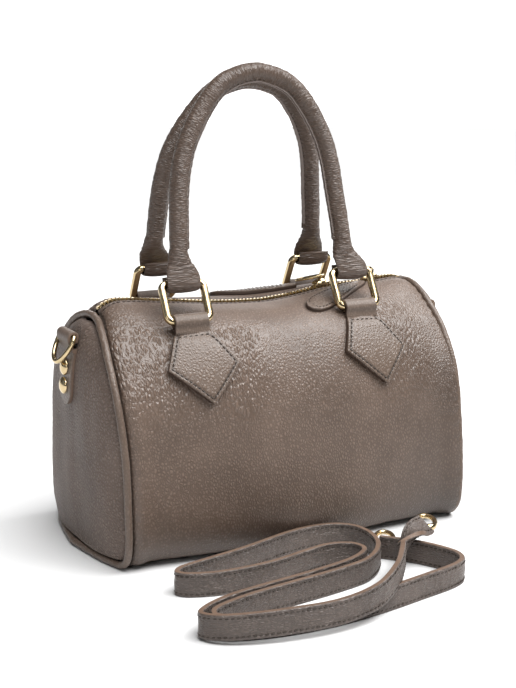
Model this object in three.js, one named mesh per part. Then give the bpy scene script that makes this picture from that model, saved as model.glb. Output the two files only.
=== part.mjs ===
import * as THREE from "three";

// A small barrel handbag with an unclipped shoulder strap lying in front of it.
// Millimetres. X runs along the bag (the left end is at -X), the front faces -Y and +Z is up.
// The floor is z = 0 and the origin is under the middle of the bag.

const GAP = 0.3; // clearance between neighbouring pieces
const FRONT = -1;
const BACK = 1;
const LEFT = -1;
const RIGHT = 1;
const UP = new THREE.Vector3(0, 0, 1);
const ALONG = new THREE.Vector3(1, 0, 0);

// Leather of the bag
const WALL = 2;
const BASE_CLEAR = 1.5; // height of the base over the floor, which the feet fill
const PIPING_RADIUS = 2.2;
const BULGE_POWER = 2.4; // how squarely the body swells from its ends to its middle
const RIDGE_REACH = 45; // distance below the zip over which the ridge's waves die out
const BODY_STATIONS = 19;
// Places down the half section at which the leather is faceted, closer together round the base's corner.
const RUNS = [0, 6, 14, 23, 33, 45, 58, 72, 88, 105, 122, 139, 154, 165, 174, 183, 193, 207, 225];

// Half of the body's section from the zip edge to the middle of the base, at the ends and at the middle,
// with the half length of the body at each row.
const SECTION = table(
  ["endDepth", "endHeight", "midDepth", "midHeight", "halfLength"],
  [
    [4.5, 146.5, 4.5, 149, 110.5],
    [12.8, 144.5, 15, 148.5, 111.2],
    [22.8, 137.5, 30, 143, 113],
    [39, 121, 48.5, 127, 115],
    [54, 97, 62.5, 100, 115.2],
    [62, 66, 69, 66, 114.2],
    [64.8, 35, 70.5, 35, 114.3],
    [64, 13, 68.6, 13, 114.2],
    [57, 3, 62.5, 2.2, 114.5],
    [38, 0, 42, 0, 120],
    [0, 0, 0, 0, 126],
  ],
);

// Waves of the zip line: the middle sags left of centre and the right end stands up.
const RIDGE = table(
  ["at", "lift"],
  [
    [-111, -6],
    [-103, 0.2],
    [-95, 2],
    [-60, -2.5],
    [-30, -6],
    [0, -7.3],
    [15, -6.3],
    [30, -4.3],
    [45, -1.8],
    [75, 0.3],
    [100, 3.2],
    [111, 0],
  ],
);

// How far the end panels dome out beyond their seam.
const DOME = table(
  ["at", "bulge"],
  [
    [0, 9],
    [30, 11],
    [60, 11.5],
    [90, 10.8],
    [115, 9],
    [135, 5.5],
    [150, 0.5],
  ],
);
const PANEL_COLUMNS = 9;
const PANEL_LAST_RUN = 185; // the panel's lowest corner
const PANEL_POWER = 3.4; // how squarely the panel domes from its edge to its middle

// Zip
const ZIP_END = 107; // the tapes and teeth stop here
const ZIP_STATIONS = 19;
const TEETH_HALF = 1.9;
const TEETH_DEPTH = 2.4;
const TAPE_THICK = 1.1;
const TAPE_UNDER = 5; // part of the tape under the body's edge
const TAPE_CLEAR = 1.1;
const SLIDER = { length: 11, width: 8, height: 3.2, wire: 1 };
const SLIDERS = table(
  ["name", "x", "pullAngle", "pullSide"],
  [
    ["left", 47, 158, BACK],
    ["right", 83, 155, FRONT],
  ],
);
const PULL = { length: 57, width: 16, thick: 2.6, start: 13, run: 7 };
const LINK_HALF = 3.4; // half width of the link between a slider and its pull

// Handles, rings and the chapes that hold them
const RING = { halfWidth: 13.5, height: 23.4, corner: 3.5, wire: 2, lean: 29 };
const LOOP_RUN = { [FRONT]: 36, [BACK]: 33 }; // place of the rings' lower bars down the section
const LOOP_STAND = 5.2; // their height over the leather
const LOOP_CLEAR = 0.45;
const CHAPES = table(
  ["name", "side", "x", "drift"],
  [
    ["front_left", FRONT, -63.2, 4],
    ["front_right", FRONT, 52.2, 6],
    ["back_left", BACK, -56.2, 2],
    ["back_right", BACK, 53.2, 2],
  ],
);
const CHAPE = { thick: 2.4, loopThick: 1.8, halfLoop: 10.8, clear: 0.8 };
// Half width of the patch, down from the bar to its tip.
const PATCH = table(
  ["at", "halfWidth"],
  [
    [7.5, 11.4],
    [11, 13],
    [29, 22.2],
    [40, 11.5],
    [50.5, 0.9],
  ],
);
const HANDLES = table(
  ["name", "side", "lean", "drop"],
  [
    ["front", FRONT, 8.6, 0],
    ["back", BACK, 9, 6],
  ],
);
// The handle's curve over the rings' upper bars, and its drift along the bag.
const HANDLE_CURVE = table(
  ["halfSpan", "rise", "drift"],
  [
    [56, 14, -2.6],
    [54.8, 32, -2.6],
    [53, 51, -3],
    [51, 66, -2.6],
    [47.5, 80, -2],
    [42, 92.5, -1.2],
    [35.7, 103, -0.6],
    [26.8, 114.2, -0.2],
    [16.6, 120.8, 0],
    [0, 124.6, 0],
  ],
);
const HANDLE = { width: 11.4, seam: 1.1, end: 21.4, endThick: 3.2, sides: 8 };
const ARCH_STEPS = 26;
// The flared end from the round grip down to the bar.
const FLARE = table(
  ["rise", "width", "thick", "out"],
  [
    [19, 11.6, 11, 0],
    [14, 14, 9.4, 0.6],
    [9.5, 18.4, 6.4, 1.9],
    [5, 21, 4, 3.4],
  ],
);

// Side tabs with their rivets and D-rings
const TAB = { drop: 40.5, halfTop: 10.4, halfEnd: 9.2, thick: 2.2, loopThick: 1.7, bar: 130, stand: 4.7 };
// The tab's rounded tip, as parts of its width.
const TAB_OUTLINE = table(
  ["fromTip", "rounding"],
  [
    [0, 0.05],
    [0.5, 0.3],
    [2, 0.62],
    [4.4, 0.88],
    [8, 1],
    [17, 1],
    [25, 1],
    [32, 1],
  ],
);
const RIVET = { radius: 5.2, rise: 2.6, drops: [17.8, 29], parts: [0, 0.5, 0.85, 0.99] };
const D_RING = { halfWidth: 12.4, reach: 17.2, wire: 1.5 };
const D_RING_TURN = { left: 7, right: 202 }; // degrees from hanging down to standing up

// Feet
const FOOT = { radius: 5, x: 97, y: 46, parts: [0, 0.45, 0.8] };

// Strap: a band on its edge. The route runs from the end by the bag, round both loops, to the lifted end.
const STRAP = { width: 14, thick: 3.2, stepsPerRow: 2 };
const STRAP_ROUTE = table(
  ["x", "y", "lift", "tilt"],
  [
    [30.6, -104.8, 0, 0],
    [41, -116, 0, 0],
    [47, -124, 0, 0],
    [54, -138, 0, 0],
    [56.5, -149, 0, 0],
    [53, -158, 0, 0],
    [43, -164, 0, 0],
    [20, -170, 0, 0],
    [-12, -177.5, 0, 0],
    [-45, -182, 0, 0],
    [-75, -181, 0, 0],
    [-98, -175.5, 0, 0],
    [-107, -169, 0, 0],
    [-104, -162, 0, 0],
    [-88, -155, 0, 0],
    [-68, -150, 0, 0],
    [-43, -145.5, 0, 0],
    [-17, -140.5, 0, 0],
    [5, -133.5, 0, 0],
    [22, -117, 0, 0],
    [29, -97, 0, 0],
    [26, -80, 0, 0],
    [13, -71.5, 0, 0],
    [-10, -72.5, 0, 0],
    [-50, -86, 0, 0],
    [-83, -95, 0, 0],
    [-97, -99.5, 0, 0],
    [-101, -105, 0, 0],
    [-96, -110.5, 0, 0],
    [-78, -115.5, 0, 0],
    [-48, -114, 0, 0],
    [-20, -106.5, 0, 0],
    [-3, -103, 0, 0],
    [10, -108, 0, 0],
    [12, -118, 0, 0],
    [1, -127.5, 0, 0],
    [-18, -134, 0, 0],
    [-44, -139.5, 0, 0],
    [-69, -144, 0, 0],
    [-90, -149, 0, 0],
    [-107, -157, 0, 0],
    [-114, -166, 1, 0],
    [-109, -175, 2, 0],
    [-97, -182, 3, 0],
    [-75, -188, 4, 0],
    [-45, -190, 4.5, 0],
    [-19, -185, 7, 0],
    [-1, -174.5, 12, 0],
    [9, -163.5, 15.5, 0],
    [16.5, -152, 14, 0],
    [21.5, -142, 9, 0],
    [28, -133, 6, 0],
    [36, -127, 8, 30],
    [43, -121.5, 11.5, 75],
    [49.5, -117, 12.5, 112],
    [57, -113.5, 12.5, 124],
  ],
);
const HOOK = { length: 22, halfWidth: 5.5, wire: 1.6, base: 2.4 };
const HOOKS = table(
  ["name", "x", "y", "z", "heading"],
  [
    ["left", 35, -103.4, 7.5, 60],
    ["right", 59.3, -112.4, 17, 62],
  ],
);

const LEATHER = { color: 0x7d6a5c, roughness: 0.55, metalness: 0 };
const LEATHER_LIGHT = { color: 0x86725f, roughness: 0.55, metalness: 0 };
const STRAP_LEATHER = { color: 0x75645a, roughness: 0.6, metalness: 0 };
const TAPE = { color: 0x5b4d43, roughness: 0.85, metalness: 0 };
const GOLD = { color: 0xc9a45c, roughness: 0.25, metalness: 1 };

// Rows of a table as objects with named columns.
function table(columns, rows) {
  return rows.map((row) => Object.fromEntries(columns.map((name, i) => [name, row[i]])));
}

function radians(degrees) {
  return (degrees * Math.PI) / 180;
}

function mix(from, to, part) {
  return from + (to - from) * part;
}

function ease(part) {
  const t = Math.min(Math.max(part, 0), 1);
  return t * t * (3 - 2 * t);
}

// Evenly spaced numbers, both ends included.
function spread(from, to, count) {
  return Array.from({ length: count }, (_, i) => mix(from, to, i / (count - 1)));
}

function vector(x, y, z) {
  return new THREE.Vector3(x, y, z);
}

// A point moved along any number of direction and distance pairs.
function moved(point, ...steps) {
  const place = point.clone();
  for (let i = 0; i < steps.length; i += 2) {
    place.addScaledVector(steps[i], steps[i + 1]);
  }
  return place;
}

// Adds the distance along a polyline of two columns to each row, under the name "at".
function measureRows(rows, first, second) {
  let at = 0;
  rows.forEach((row, i) => {
    if (i > 0) {
      at += Math.hypot(row[first] - rows[i - 1][first], row[second] - rows[i - 1][second]);
    }
    row.at = at;
  });
  return at;
}

function rowBelow(rows, at) {
  let k = 0;
  while (k < rows.length - 2 && rows[k + 1].at <= at) {
    k += 1;
  }
  return k;
}

function slopeAt(rows, column, k) {
  const before = rows[Math.max(k - 1, 0)];
  const after = rows[Math.min(k + 1, rows.length - 1)];
  return (after[column] - before[column]) / (after.at - before.at);
}

// Smooth value of a column at a place along the rows.
function smoothAt(rows, column, at) {
  const k = rowBelow(rows, at);
  const step = rows[k + 1].at - rows[k].at;
  const t = Math.min(Math.max((at - rows[k].at) / step, 0), 1);
  const a = rows[k][column];
  const b = rows[k + 1][column];
  const slopeA = slopeAt(rows, column, k) * step;
  const slopeB = slopeAt(rows, column, k + 1) * step;
  const t2 = t * t;
  const t3 = t2 * t;
  const ends = (2 * t3 - 3 * t2 + 1) * a + (3 * t2 - 2 * t3) * b;
  return ends + (t3 - 2 * t2 + t) * slopeA + (t3 - t2) * slopeB;
}

// Straight-line value of a column at a place along the rows.
function straightAt(rows, column, at) {
  const k = rowBelow(rows, at);
  const t = (at - rows[k].at) / (rows[k + 1].at - rows[k].at);
  return mix(rows[k][column], rows[k + 1][column], Math.min(Math.max(t, 0), 1));
}

const SECTION_RUN = measureRows(SECTION, "midDepth", "midHeight");
measureRows(STRAP_ROUTE, "x", "y");

// Closed skin from points and faces, turned to face outwards.
function skin(points, faces) {
  let volume = 0;
  for (const [a, b, c] of faces) {
    volume += points[a].dot(points[b].clone().cross(points[c]));
  }
  const order = volume < 0 ? faces.map(([a, b, c]) => [a, c, b]) : faces;
  const geometry = new THREE.BufferGeometry().setFromPoints(points);
  geometry.setIndex(order.flat());
  geometry.computeVertexNormals();
  return geometry;
}

// Faces that close a ring of points by rungs between its two halves.
function ladder(first, count, far) {
  const faces = [];
  for (let j = 0; j < count / 2 - 1; j++) {
    const corners = [first + j, first + j + 1, first + count - 2 - j, first + count - 1 - j];
    const [a, b, c, d] = far ? corners.reverse() : corners;
    faces.push([a, b, c], [a, c, d]);
  }
  return faces;
}

// Solid through a row of rings with equal, even numbers of points.
function loft(rings, closed = false) {
  const count = rings[0].length;
  const faces = [];
  const spans = closed ? rings.length : rings.length - 1;
  for (let i = 0; i < spans; i++) {
    const near = i * count;
    const next = ((i + 1) % rings.length) * count;
    for (let j = 0; j < count; j++) {
      const k = (j + 1) % count;
      faces.push([near + j, next + j, next + k], [near + j, next + k, near + k]);
    }
  }
  if (!closed) {
    faces.push(...ladder(0, count, false), ...ladder(spans * count, count, true));
  }
  return skin(rings.flat(), faces);
}

// Ring of points on an ellipse across two directions.
function ellipse(centre, first, second, halfFirst, halfSecond, sides) {
  return spread(0, 2 * Math.PI, sides + 1)
    .slice(0, sides)
    .map((turn) => moved(centre, first, halfFirst * Math.cos(turn), second, halfSecond * Math.sin(turn)));
}

// Round bar along a closed path that lies in one plane.
function closedBar(path, planeNormal, radius, sides) {
  const rings = path.map((point, i) => {
    const before = path[(i + path.length - 1) % path.length];
    const after = path[(i + 1) % path.length];
    const across = after.clone().sub(before).cross(planeNormal).normalize();
    return ellipse(point, across, planeNormal, radius, radius, sides);
  });
  return loft(rings, true);
}

// Dome on a disc: rings from the rim to a flat crown, at parts of a round dome's height.
function dome(centre, axis, radius, rise, parts, sides = 12) {
  const first = Math.abs(axis.z) > 0.9 ? ALONG.clone() : UP.clone().cross(axis).normalize();
  const second = axis.clone().cross(first);
  const rings = parts.map((part) => {
    const reach = radius * Math.sqrt(1 - part * part);
    const height = (rise * part) / parts[parts.length - 1];
    return ellipse(moved(centre, axis, height), first, second, reach, reach, sides);
  });
  return loft(rings);
}

// Lift of the zip ridge at a place along the bag.
function ridgeLift(x) {
  return smoothAt(RIDGE, "lift", Math.min(Math.max(x, RIDGE[0].at), RIDGE[RIDGE.length - 1].at));
}

// Point on the outside of the body: run is the distance down from the zip edge, x the place along the bag.
function bodyPoint(side, run, x) {
  const part = Math.min(Math.abs(x / smoothAt(SECTION, "halfLength", run)), 1);
  const swell = 1 - part ** BULGE_POWER;
  const depth = mix(smoothAt(SECTION, "endDepth", run), smoothAt(SECTION, "midDepth", run), swell);
  const height = mix(smoothAt(SECTION, "endHeight", run), smoothAt(SECTION, "midHeight", run), swell);
  const lift = (1 - ease(run / RIDGE_REACH)) * ridgeLift(x);
  return vector(x, side * depth, Math.max(height, 0) + BASE_CLEAR + lift);
}

// Outward normal and downward direction of the body at a place.
function bodyFrame(side, run, x) {
  const above = bodyPoint(side, Math.max(run - 0.5, 0), x);
  const below = bodyPoint(side, Math.min(run + 0.5, SECTION_RUN), x);
  const down = below.sub(above).normalize();
  const left = bodyPoint(side, run, x - 0.5);
  const right = bodyPoint(side, run, x + 0.5);
  const normal = right.sub(left).cross(down).multiplyScalar(side).normalize();
  return { down, normal };
}

function bodyOffset(side, run, x, out) {
  return moved(bodyPoint(side, run, x), bodyFrame(side, run, x).normal, out);
}

// One leather panel: front, base and back, open along the zip.
function bodyPanel() {
  const around = [
    ...RUNS.map((run) => ({ side: FRONT, run })),
    { side: FRONT, run: SECTION_RUN },
    ...[...RUNS].reverse().map((run) => ({ side: BACK, run })),
  ];
  const rings = spread(-1, 1, BODY_STATIONS).map((part) => {
    const place = ({ side, run }, out) => {
      const reach = smoothAt(SECTION, "halfLength", run) - PIPING_RADIUS - GAP;
      return bodyOffset(side, run, part * reach, out);
    };
    const outer = around.map((spot) => place(spot, 0));
    const inner = around.map((spot) => place(spot, -WALL));
    return [...outer, ...inner.reverse()];
  });
  return loft(rings);
}

// Centre of the piping at a place down the end seam, with its outward direction across the seam.
function pipingPoint(end, side, run) {
  const x = end * smoothAt(SECTION, "halfLength", run);
  const { normal } = bodyFrame(side, run, x * 0.98);
  normal.x = 0;
  const centre = moved(bodyPoint(side, run, x), normal.normalize(), 0.4);
  centre.z = Math.max(centre.z, PIPING_RADIUS + 0.4);
  return { centre, normal };
}

function piping(end) {
  const spots = [
    ...RUNS.map((run) => pipingPoint(end, FRONT, run)),
    pipingPoint(end, FRONT, SECTION_RUN),
    ...[...RUNS].reverse().map((run) => pipingPoint(end, BACK, run)),
  ];
  const rings = spots.map(({ centre, normal }) =>
    ellipse(centre, normal, ALONG, PIPING_RADIUS, PIPING_RADIUS, 6),
  );
  return loft(rings, true);
}

// Edge of an end panel, inside the piping, at a place down the seam.
function rimPoint(run) {
  const { centre, normal } = pipingPoint(LEFT, FRONT, run);
  return moved(centre, normal, -(PIPING_RADIUS + 1.4 * GAP));
}

// Place down the seam at which the panel's edge has a height.
function runAtHeight(height) {
  let low = 0;
  let high = PANEL_LAST_RUN;
  for (let i = 0; i < 40; i++) {
    const middle = (low + high) / 2;
    if (rimPoint(middle).z > height) {
      low = middle;
    } else {
      high = middle;
    }
  }
  return low;
}

// How far an end panel's outside lies from the middle of the bag.
function panelReach(y, height) {
  const run = runAtHeight(height);
  const across = Math.min(Math.abs(y / rimPoint(run).y), 1);
  const seam = smoothAt(SECTION, "halfLength", run) + 0.6;
  return seam + smoothAt(DOME, "bulge", height) * (1 - across ** PANEL_POWER);
}

function endPanel(end) {
  const runs = [...RUNS.filter((run) => run > 1 && run < PANEL_LAST_RUN), PANEL_LAST_RUN];
  const rings = runs.map((run) => {
    const rim = rimPoint(run);
    const across = spread(rim.y, -rim.y, PANEL_COLUMNS);
    const outer = across.map((y) => vector(end * panelReach(y, rim.z), y, rim.z));
    const inner = across.map((y) => vector(end * (panelReach(y, rim.z) - WALL), y, rim.z));
    return [...outer, ...inner.reverse()];
  });
  return loft(rings);
}

// Height of the zip's upper face over the bag.
function zipTop(x) {
  return bodyPoint(FRONT, 0, x).z - 1;
}

function zipTape(side) {
  const rings = spread(-ZIP_END, ZIP_END, ZIP_STATIONS).map((x) => {
    const under = (run, out) => bodyOffset(side, run, x, -WALL - TAPE_CLEAR - out);
    const edge = under(0.6, 0);
    const inner = vector(x, side * (TEETH_HALF + GAP), edge.z);
    const top = [inner, edge, under(TAPE_UNDER, 0)];
    const low = [moved(inner, UP, -TAPE_THICK), moved(edge, UP, -TAPE_THICK), under(TAPE_UNDER, TAPE_THICK)];
    return [...top, ...low.reverse()];
  });
  return loft(rings);
}

function zipTeeth() {
  const rings = spread(-ZIP_END, ZIP_END, ZIP_STATIONS).map((x) => {
    const top = zipTop(x);
    return [
      vector(x, -TEETH_HALF, top - TEETH_DEPTH),
      vector(x, TEETH_HALF, top - TEETH_DEPTH),
      vector(x, TEETH_HALF, top),
      vector(x, -TEETH_HALF, top),
    ];
  });
  return loft(rings);
}

// Directions at a slider: along the zip, across it and out of it.
function sliderFrame({ x }) {
  const along = vector(4, 0, zipTop(x + 2) - zipTop(x - 2)).normalize();
  const across = vector(0, 1, 0);
  const base = vector(x, 0, zipTop(x) + GAP + 1.2);
  return { along, across, out: along.clone().cross(across), base };
}

// Slider body with a hump that carries the pull.
function zipSlider(slider) {
  const { along, across, out, base } = sliderFrame(slider);
  const shape = table(
    ["part", "half", "height"],
    [
      [-0.5, 0.55, 0.55],
      [-0.42, 0.85, 0.9],
      [-0.2, 1, 1.25],
      [0, 1, 1.7],
      [0.2, 1, 1.25],
      [0.42, 0.8, 0.9],
      [0.5, 0.5, 0.55],
    ],
  );
  const rings = shape.map(({ part, half, height }) => {
    const centre = moved(base, along, SLIDER.length * part);
    const wide = (SLIDER.width / 2) * half;
    const tall = SLIDER.height * height;
    return [
      moved(centre, across, -wide),
      moved(centre, across, wide),
      moved(centre, across, wide, out, tall * 0.6),
      moved(centre, across, wide * 0.6, out, tall),
      moved(centre, across, -wide * 0.6, out, tall),
      moved(centre, across, -wide, out, tall * 0.6),
    ];
  });
  return loft(rings);
}

// Leather pull lying on the body beside the zip, narrow at the slider and round at its free end.
function zipPull(slider) {
  const turn = radians(slider.pullAngle);
  const heading = { x: Math.cos(turn), down: Math.sin(turn) };
  const outline = table(
    ["part", "half"],
    [
      [0, 0.3],
      [0.08, 0.42],
      [0.3, 0.7],
      [0.55, 0.92],
      [0.72, 1],
      [0.84, 0.95],
      [0.93, 0.72],
      [0.98, 0.42],
      [1, 0.16],
    ],
  );
  const place = (reach, sideways, out) => {
    const x = slider.x + heading.x * (PULL.start + reach) + heading.down * sideways;
    const run = PULL.run + heading.down * reach - heading.x * sideways;
    return bodyOffset(slider.pullSide, run, x, out);
  };
  const rings = outline.map(({ part, half }) => {
    const reach = part * PULL.length;
    const wide = (PULL.width / 2) * half;
    const low = GAP + 0.2;
    const high = low + PULL.thick;
    return [
      place(reach, -wide, low),
      place(reach, 0, low),
      place(reach, wide, low),
      place(reach, wide, high),
      place(reach, 0, high),
      place(reach, -wide, high),
    ];
  });
  return loft(rings);
}

// Gold link between a slider's hump and its pull.
function zipLink(slider) {
  const { along, across, out, base } = sliderFrame(slider);
  const turn = radians(slider.pullAngle);
  const heading = moved(vector(0, 0, 0), along, Math.cos(turn), across, slider.pullSide * Math.sin(turn));
  const start = moved(base, out, SLIDER.height * 1.7 + SLIDER.wire + GAP, heading, -2);
  const end = bodyOffset(slider.pullSide, PULL.run, slider.x + Math.cos(turn) * (PULL.start - 1), 4.6);
  const length = end.clone().sub(start);
  const sideways = length.clone().cross(UP).normalize();
  const plane = sideways.clone().cross(length).normalize();
  const middle = moved(start, length, 0.5);
  const path = ellipse(middle, length.clone().normalize(), sideways, length.length() / 2, LINK_HALF, 12);
  return closedBar(path, plane, SLIDER.wire, 6);
}

// Common frame of the two lower bars of a handle's rings.
function ringFrame(side) {
  const pair = CHAPES.filter((chape) => chape.side === side);
  const spots = pair.map((chape) => bodyOffset(side, LOOP_RUN[side], chape.x, LOOP_STAND));
  const y = (spots[0].y + spots[1].y) / 2;
  const z = (spots[0].z + spots[1].z) / 2;
  const { down, normal } = bodyFrame(side, LOOP_RUN[side], pair[1].x);
  down.x = 0;
  normal.x = 0;
  const lean = radians(RING.lean);
  const rise = vector(0, -side * Math.sin(lean), Math.cos(lean));
  return { y, z, down: down.normalize(), normal: normal.normalize(), rise };
}

function ring(chape) {
  const { y, z, rise } = ringFrame(chape.side);
  const centre = moved(vector(chape.x, y, z), rise, RING.height / 2);
  const corners = [
    [1, 1, 0],
    [-1, 1, 90],
    [-1, -1, 180],
    [1, -1, 270],
  ];
  const path = corners.flatMap(([sideX, sideRise, start]) =>
    spread(start, start + 90, 4).map((turn) => {
      const x = sideX * (RING.halfWidth - RING.corner) + RING.corner * Math.cos(radians(turn));
      const up = sideRise * (RING.height / 2 - RING.corner) + RING.corner * Math.sin(radians(turn));
      return moved(centre, ALONG, x, rise, up);
    }),
  );
  return closedBar(path, ALONG.clone().cross(rise), RING.wire, 8);
}

// Strip that lies on leather and folds over a bar: path rows run from the free tip, over the bar,
// to the hidden tail, as distances down from the bar and out from the leather.
function foldPath(stand, barRadius, lieThick, loopThick, foot, clear) {
  const turn = barRadius + LOOP_CLEAR + loopThick / 2;
  const lie = clear + lieThick / 2;
  const rows = [
    { down: foot, out: lie, thick: lieThick, facing: 90 },
    { down: foot - 2.6, out: mix(lie, stand + turn, 0.34), thick: loopThick, facing: 52 },
    { down: turn * 0.95, out: stand + turn * 0.72, thick: loopThick, facing: 45 },
  ];
  for (const facing of [90, 125, 160, 195, 230, 270]) {
    const angle = radians(facing);
    rows.push({
      down: turn * Math.cos(angle),
      out: stand + turn * Math.sin(angle),
      thick: loopThick,
      facing,
    });
  }
  rows.push({ down: 2.4, out: stand - turn, thick: loopThick, facing: 270 });
  return rows;
}

// Leather chape: a pointed patch sewn to the body and a loop over the ring's lower bar.
function chape(spec) {
  const { y, z, down, normal } = ringFrame(spec.side);
  const foot = PATCH[0].at;
  const tip = PATCH[PATCH.length - 1].at;
  const patchRows = [];
  for (let k = PATCH.length - 1; k > 0; k--) {
    patchRows.push(PATCH[k].at, mix(PATCH[k].at, PATCH[k - 1].at, 0.5));
  }
  const rings = patchRows.map((at) => {
    const half = straightAt(PATCH, "halfWidth", at);
    const middle = spec.x + (spec.drift * (at - foot)) / (tip - foot);
    const row = (out) =>
      [-1, 0, 1].map((side) => bodyOffset(spec.side, LOOP_RUN[spec.side] + at, middle + side * half, out));
    return [...row(CHAPE.clear + CHAPE.thick), ...row(CHAPE.clear).reverse()];
  });
  for (const fold of foldPath(LOOP_STAND, RING.wire, CHAPE.thick, CHAPE.loopThick, foot, CHAPE.clear)) {
    const angle = radians(fold.facing);
    const facing = moved(vector(0, 0, 0), down, Math.cos(angle), normal, Math.sin(angle));
    const row = (out) =>
      [-1, 0, 1].map((side) => {
        const onBar = vector(spec.x + side * CHAPE.halfLoop, y, z);
        const spot = moved(onBar, down, fold.down, normal, fold.out - LOOP_STAND);
        return moved(spot, facing, out);
      });
    rings.push([...row(fold.thick / 2), ...row(-fold.thick / 2).reverse()]);
  }
  return loft(rings);
}

// Frame of a handle over the upper bars of its rings.
function handleFrame({ side, lean }) {
  const { y, z, rise } = ringFrame(side);
  const bar = moved(vector(0, y, z), rise, RING.height);
  const angle = radians(lean);
  const up = vector(0, -side * Math.sin(angle), Math.cos(angle));
  const out = vector(0, side * Math.cos(angle), Math.sin(angle));
  return { bar, up, out };
}

// Ring of a handle section: round, with a seam ridge on the inside of the arch.
function gripSection(centre, outward, across, width, thick, seam) {
  return spread(0, 2 * Math.PI, HANDLE.sides + 1)
    .slice(0, HANDLE.sides)
    .map((turn) => {
      const inside = Math.max(-Math.cos(turn), 0) ** 6;
      const reach = (width / 2) * Math.cos(turn) - seam * inside;
      return moved(centre, outward, reach, across, (thick / 2) * Math.sin(turn));
    });
}

// Sections of a flared end, from the hidden tail round the bar and up to the round grip.
function flaredEnd(frame, end, barX, neckX) {
  const outward = vector(end, 0, 0);
  const turn = RING.wire + LOOP_CLEAR + HANDLE.endThick / 2;
  const at = (x, rise, out) => moved(vector(x, frame.bar.y, frame.bar.z), frame.up, rise, frame.out, out);
  const rings = [];
  const tail = [
    { rise: 4.2, out: -turn, facing: 180 },
    { rise: 2, out: -turn, facing: 180 },
  ];
  const bend = [180, 225, 270, 315, 360].map((facing) => ({
    rise: turn * Math.sin(radians(facing)),
    out: turn * Math.cos(radians(facing)),
    facing,
  }));
  for (const spot of [...tail, ...bend]) {
    const angle = radians(spot.facing);
    const across = moved(vector(0, 0, 0), frame.out, Math.cos(angle), frame.up, Math.sin(angle));
    const centre = at(barX, spot.rise, spot.out);
    rings.push(gripSection(centre, outward, across, HANDLE.end, HANDLE.endThick, 0));
  }
  for (const { rise, width, thick, out } of [...FLARE].reverse()) {
    const x = mix(barX, neckX, ease(rise / 14));
    rings.push(gripSection(at(x, rise, out), outward, frame.out, width, thick, 0));
  }
  return rings;
}

function handle(spec) {
  const frame = handleFrame(spec);
  const [left, right] = CHAPES.filter((chape) => chape.side === spec.side);
  const middle = (left.x + right.x) / 2;
  const top = HANDLE_CURVE[HANDLE_CURVE.length - 1].rise;
  const half = (end) =>
    HANDLE_CURVE.map(({ halfSpan, rise, drift }) => ({
      x: middle + end * halfSpan + drift,
      rise: rise - spec.drop * (rise / top),
    }));
  const curve = [...half(LEFT), ...half(RIGHT).slice(0, -1).reverse()];
  const length = measureRows(curve, "x", "rise");
  const spotAt = (at) => {
    const x = smoothAt(curve, "x", at);
    const rise = smoothAt(curve, "rise", at);
    return moved(vector(x, frame.bar.y, frame.bar.z), frame.up, rise);
  };
  const startAt = 7;
  const arch = spread(startAt, length - startAt, ARCH_STEPS).map((at) => {
    const along = spotAt(at + 1).sub(spotAt(at - 1)).normalize();
    const outward = frame.out.clone().cross(along).multiplyScalar(-spec.side);
    return gripSection(spotAt(at), outward, frame.out, HANDLE.width, HANDLE.width, HANDLE.seam);
  });
  const leftEnd = flaredEnd(frame, LEFT, left.x, curve[0].x);
  const rightEnd = flaredEnd(frame, RIGHT, right.x, curve[curve.length - 1].x);
  return loft([...leftEnd, ...arch, ...rightEnd.reverse()]);
}

// Leather tab on an end panel with a loop over the D-ring's bar.
function sideTab(end) {
  const reach = (y, height, out) => vector(end * (panelReach(y, height) + out), y, height);
  const rings = TAB_OUTLINE.map(({ fromTip, rounding }) => {
    const drop = TAB.drop - fromTip;
    const half = mix(TAB.halfTop, TAB.halfEnd, drop / TAB.drop) * rounding;
    const row = (out) => [-1, 0, 1].map((side) => reach(side * half, TAB.bar - drop, out));
    return [...row(GAP + TAB.thick), ...row(GAP).reverse()];
  });
  const { centre, down, normal } = tabFrame(end);
  for (const fold of foldPath(TAB.stand, D_RING.wire, TAB.thick, TAB.loopThick, 9, GAP)) {
    const angle = radians(fold.facing);
    const facing = moved(vector(0, 0, 0), down, Math.cos(angle), normal, Math.sin(angle));
    const spot = moved(centre, down, fold.down, normal, fold.out - TAB.stand);
    const row = (out) => [-1, 0, 1].map((side) => moved(spot, facing, out, vector(0, 1, 0), side * TAB.halfTop));
    rings.push([...row(fold.thick / 2), ...row(-fold.thick / 2).reverse()]);
  }
  return loft(rings);
}

// Frame of the D-ring's bar in front of an end panel.
function tabFrame(end) {
  const above = vector(end * panelReach(0, TAB.bar + 1), 0, TAB.bar + 1);
  const below = vector(end * panelReach(0, TAB.bar - 1), 0, TAB.bar - 1);
  const down = below.sub(above).normalize();
  const normal = vector(-down.z * end, 0, down.x * end);
  const foot = vector(end * panelReach(0, TAB.bar), 0, TAB.bar);
  return { centre: moved(foot, normal, TAB.stand), down, normal };
}

function rivet(end, drop) {
  const height = TAB.bar - drop;
  const slope = (panelReach(0, height + 2) - panelReach(0, height - 2)) / 4;
  const axis = vector(end, 0, -slope).normalize();
  const foot = vector(end * panelReach(0, height), 0, height);
  return dome(moved(foot, axis, TAB.thick + 2.6 * GAP), axis, RIVET.radius, RIVET.rise, RIVET.parts);
}

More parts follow.
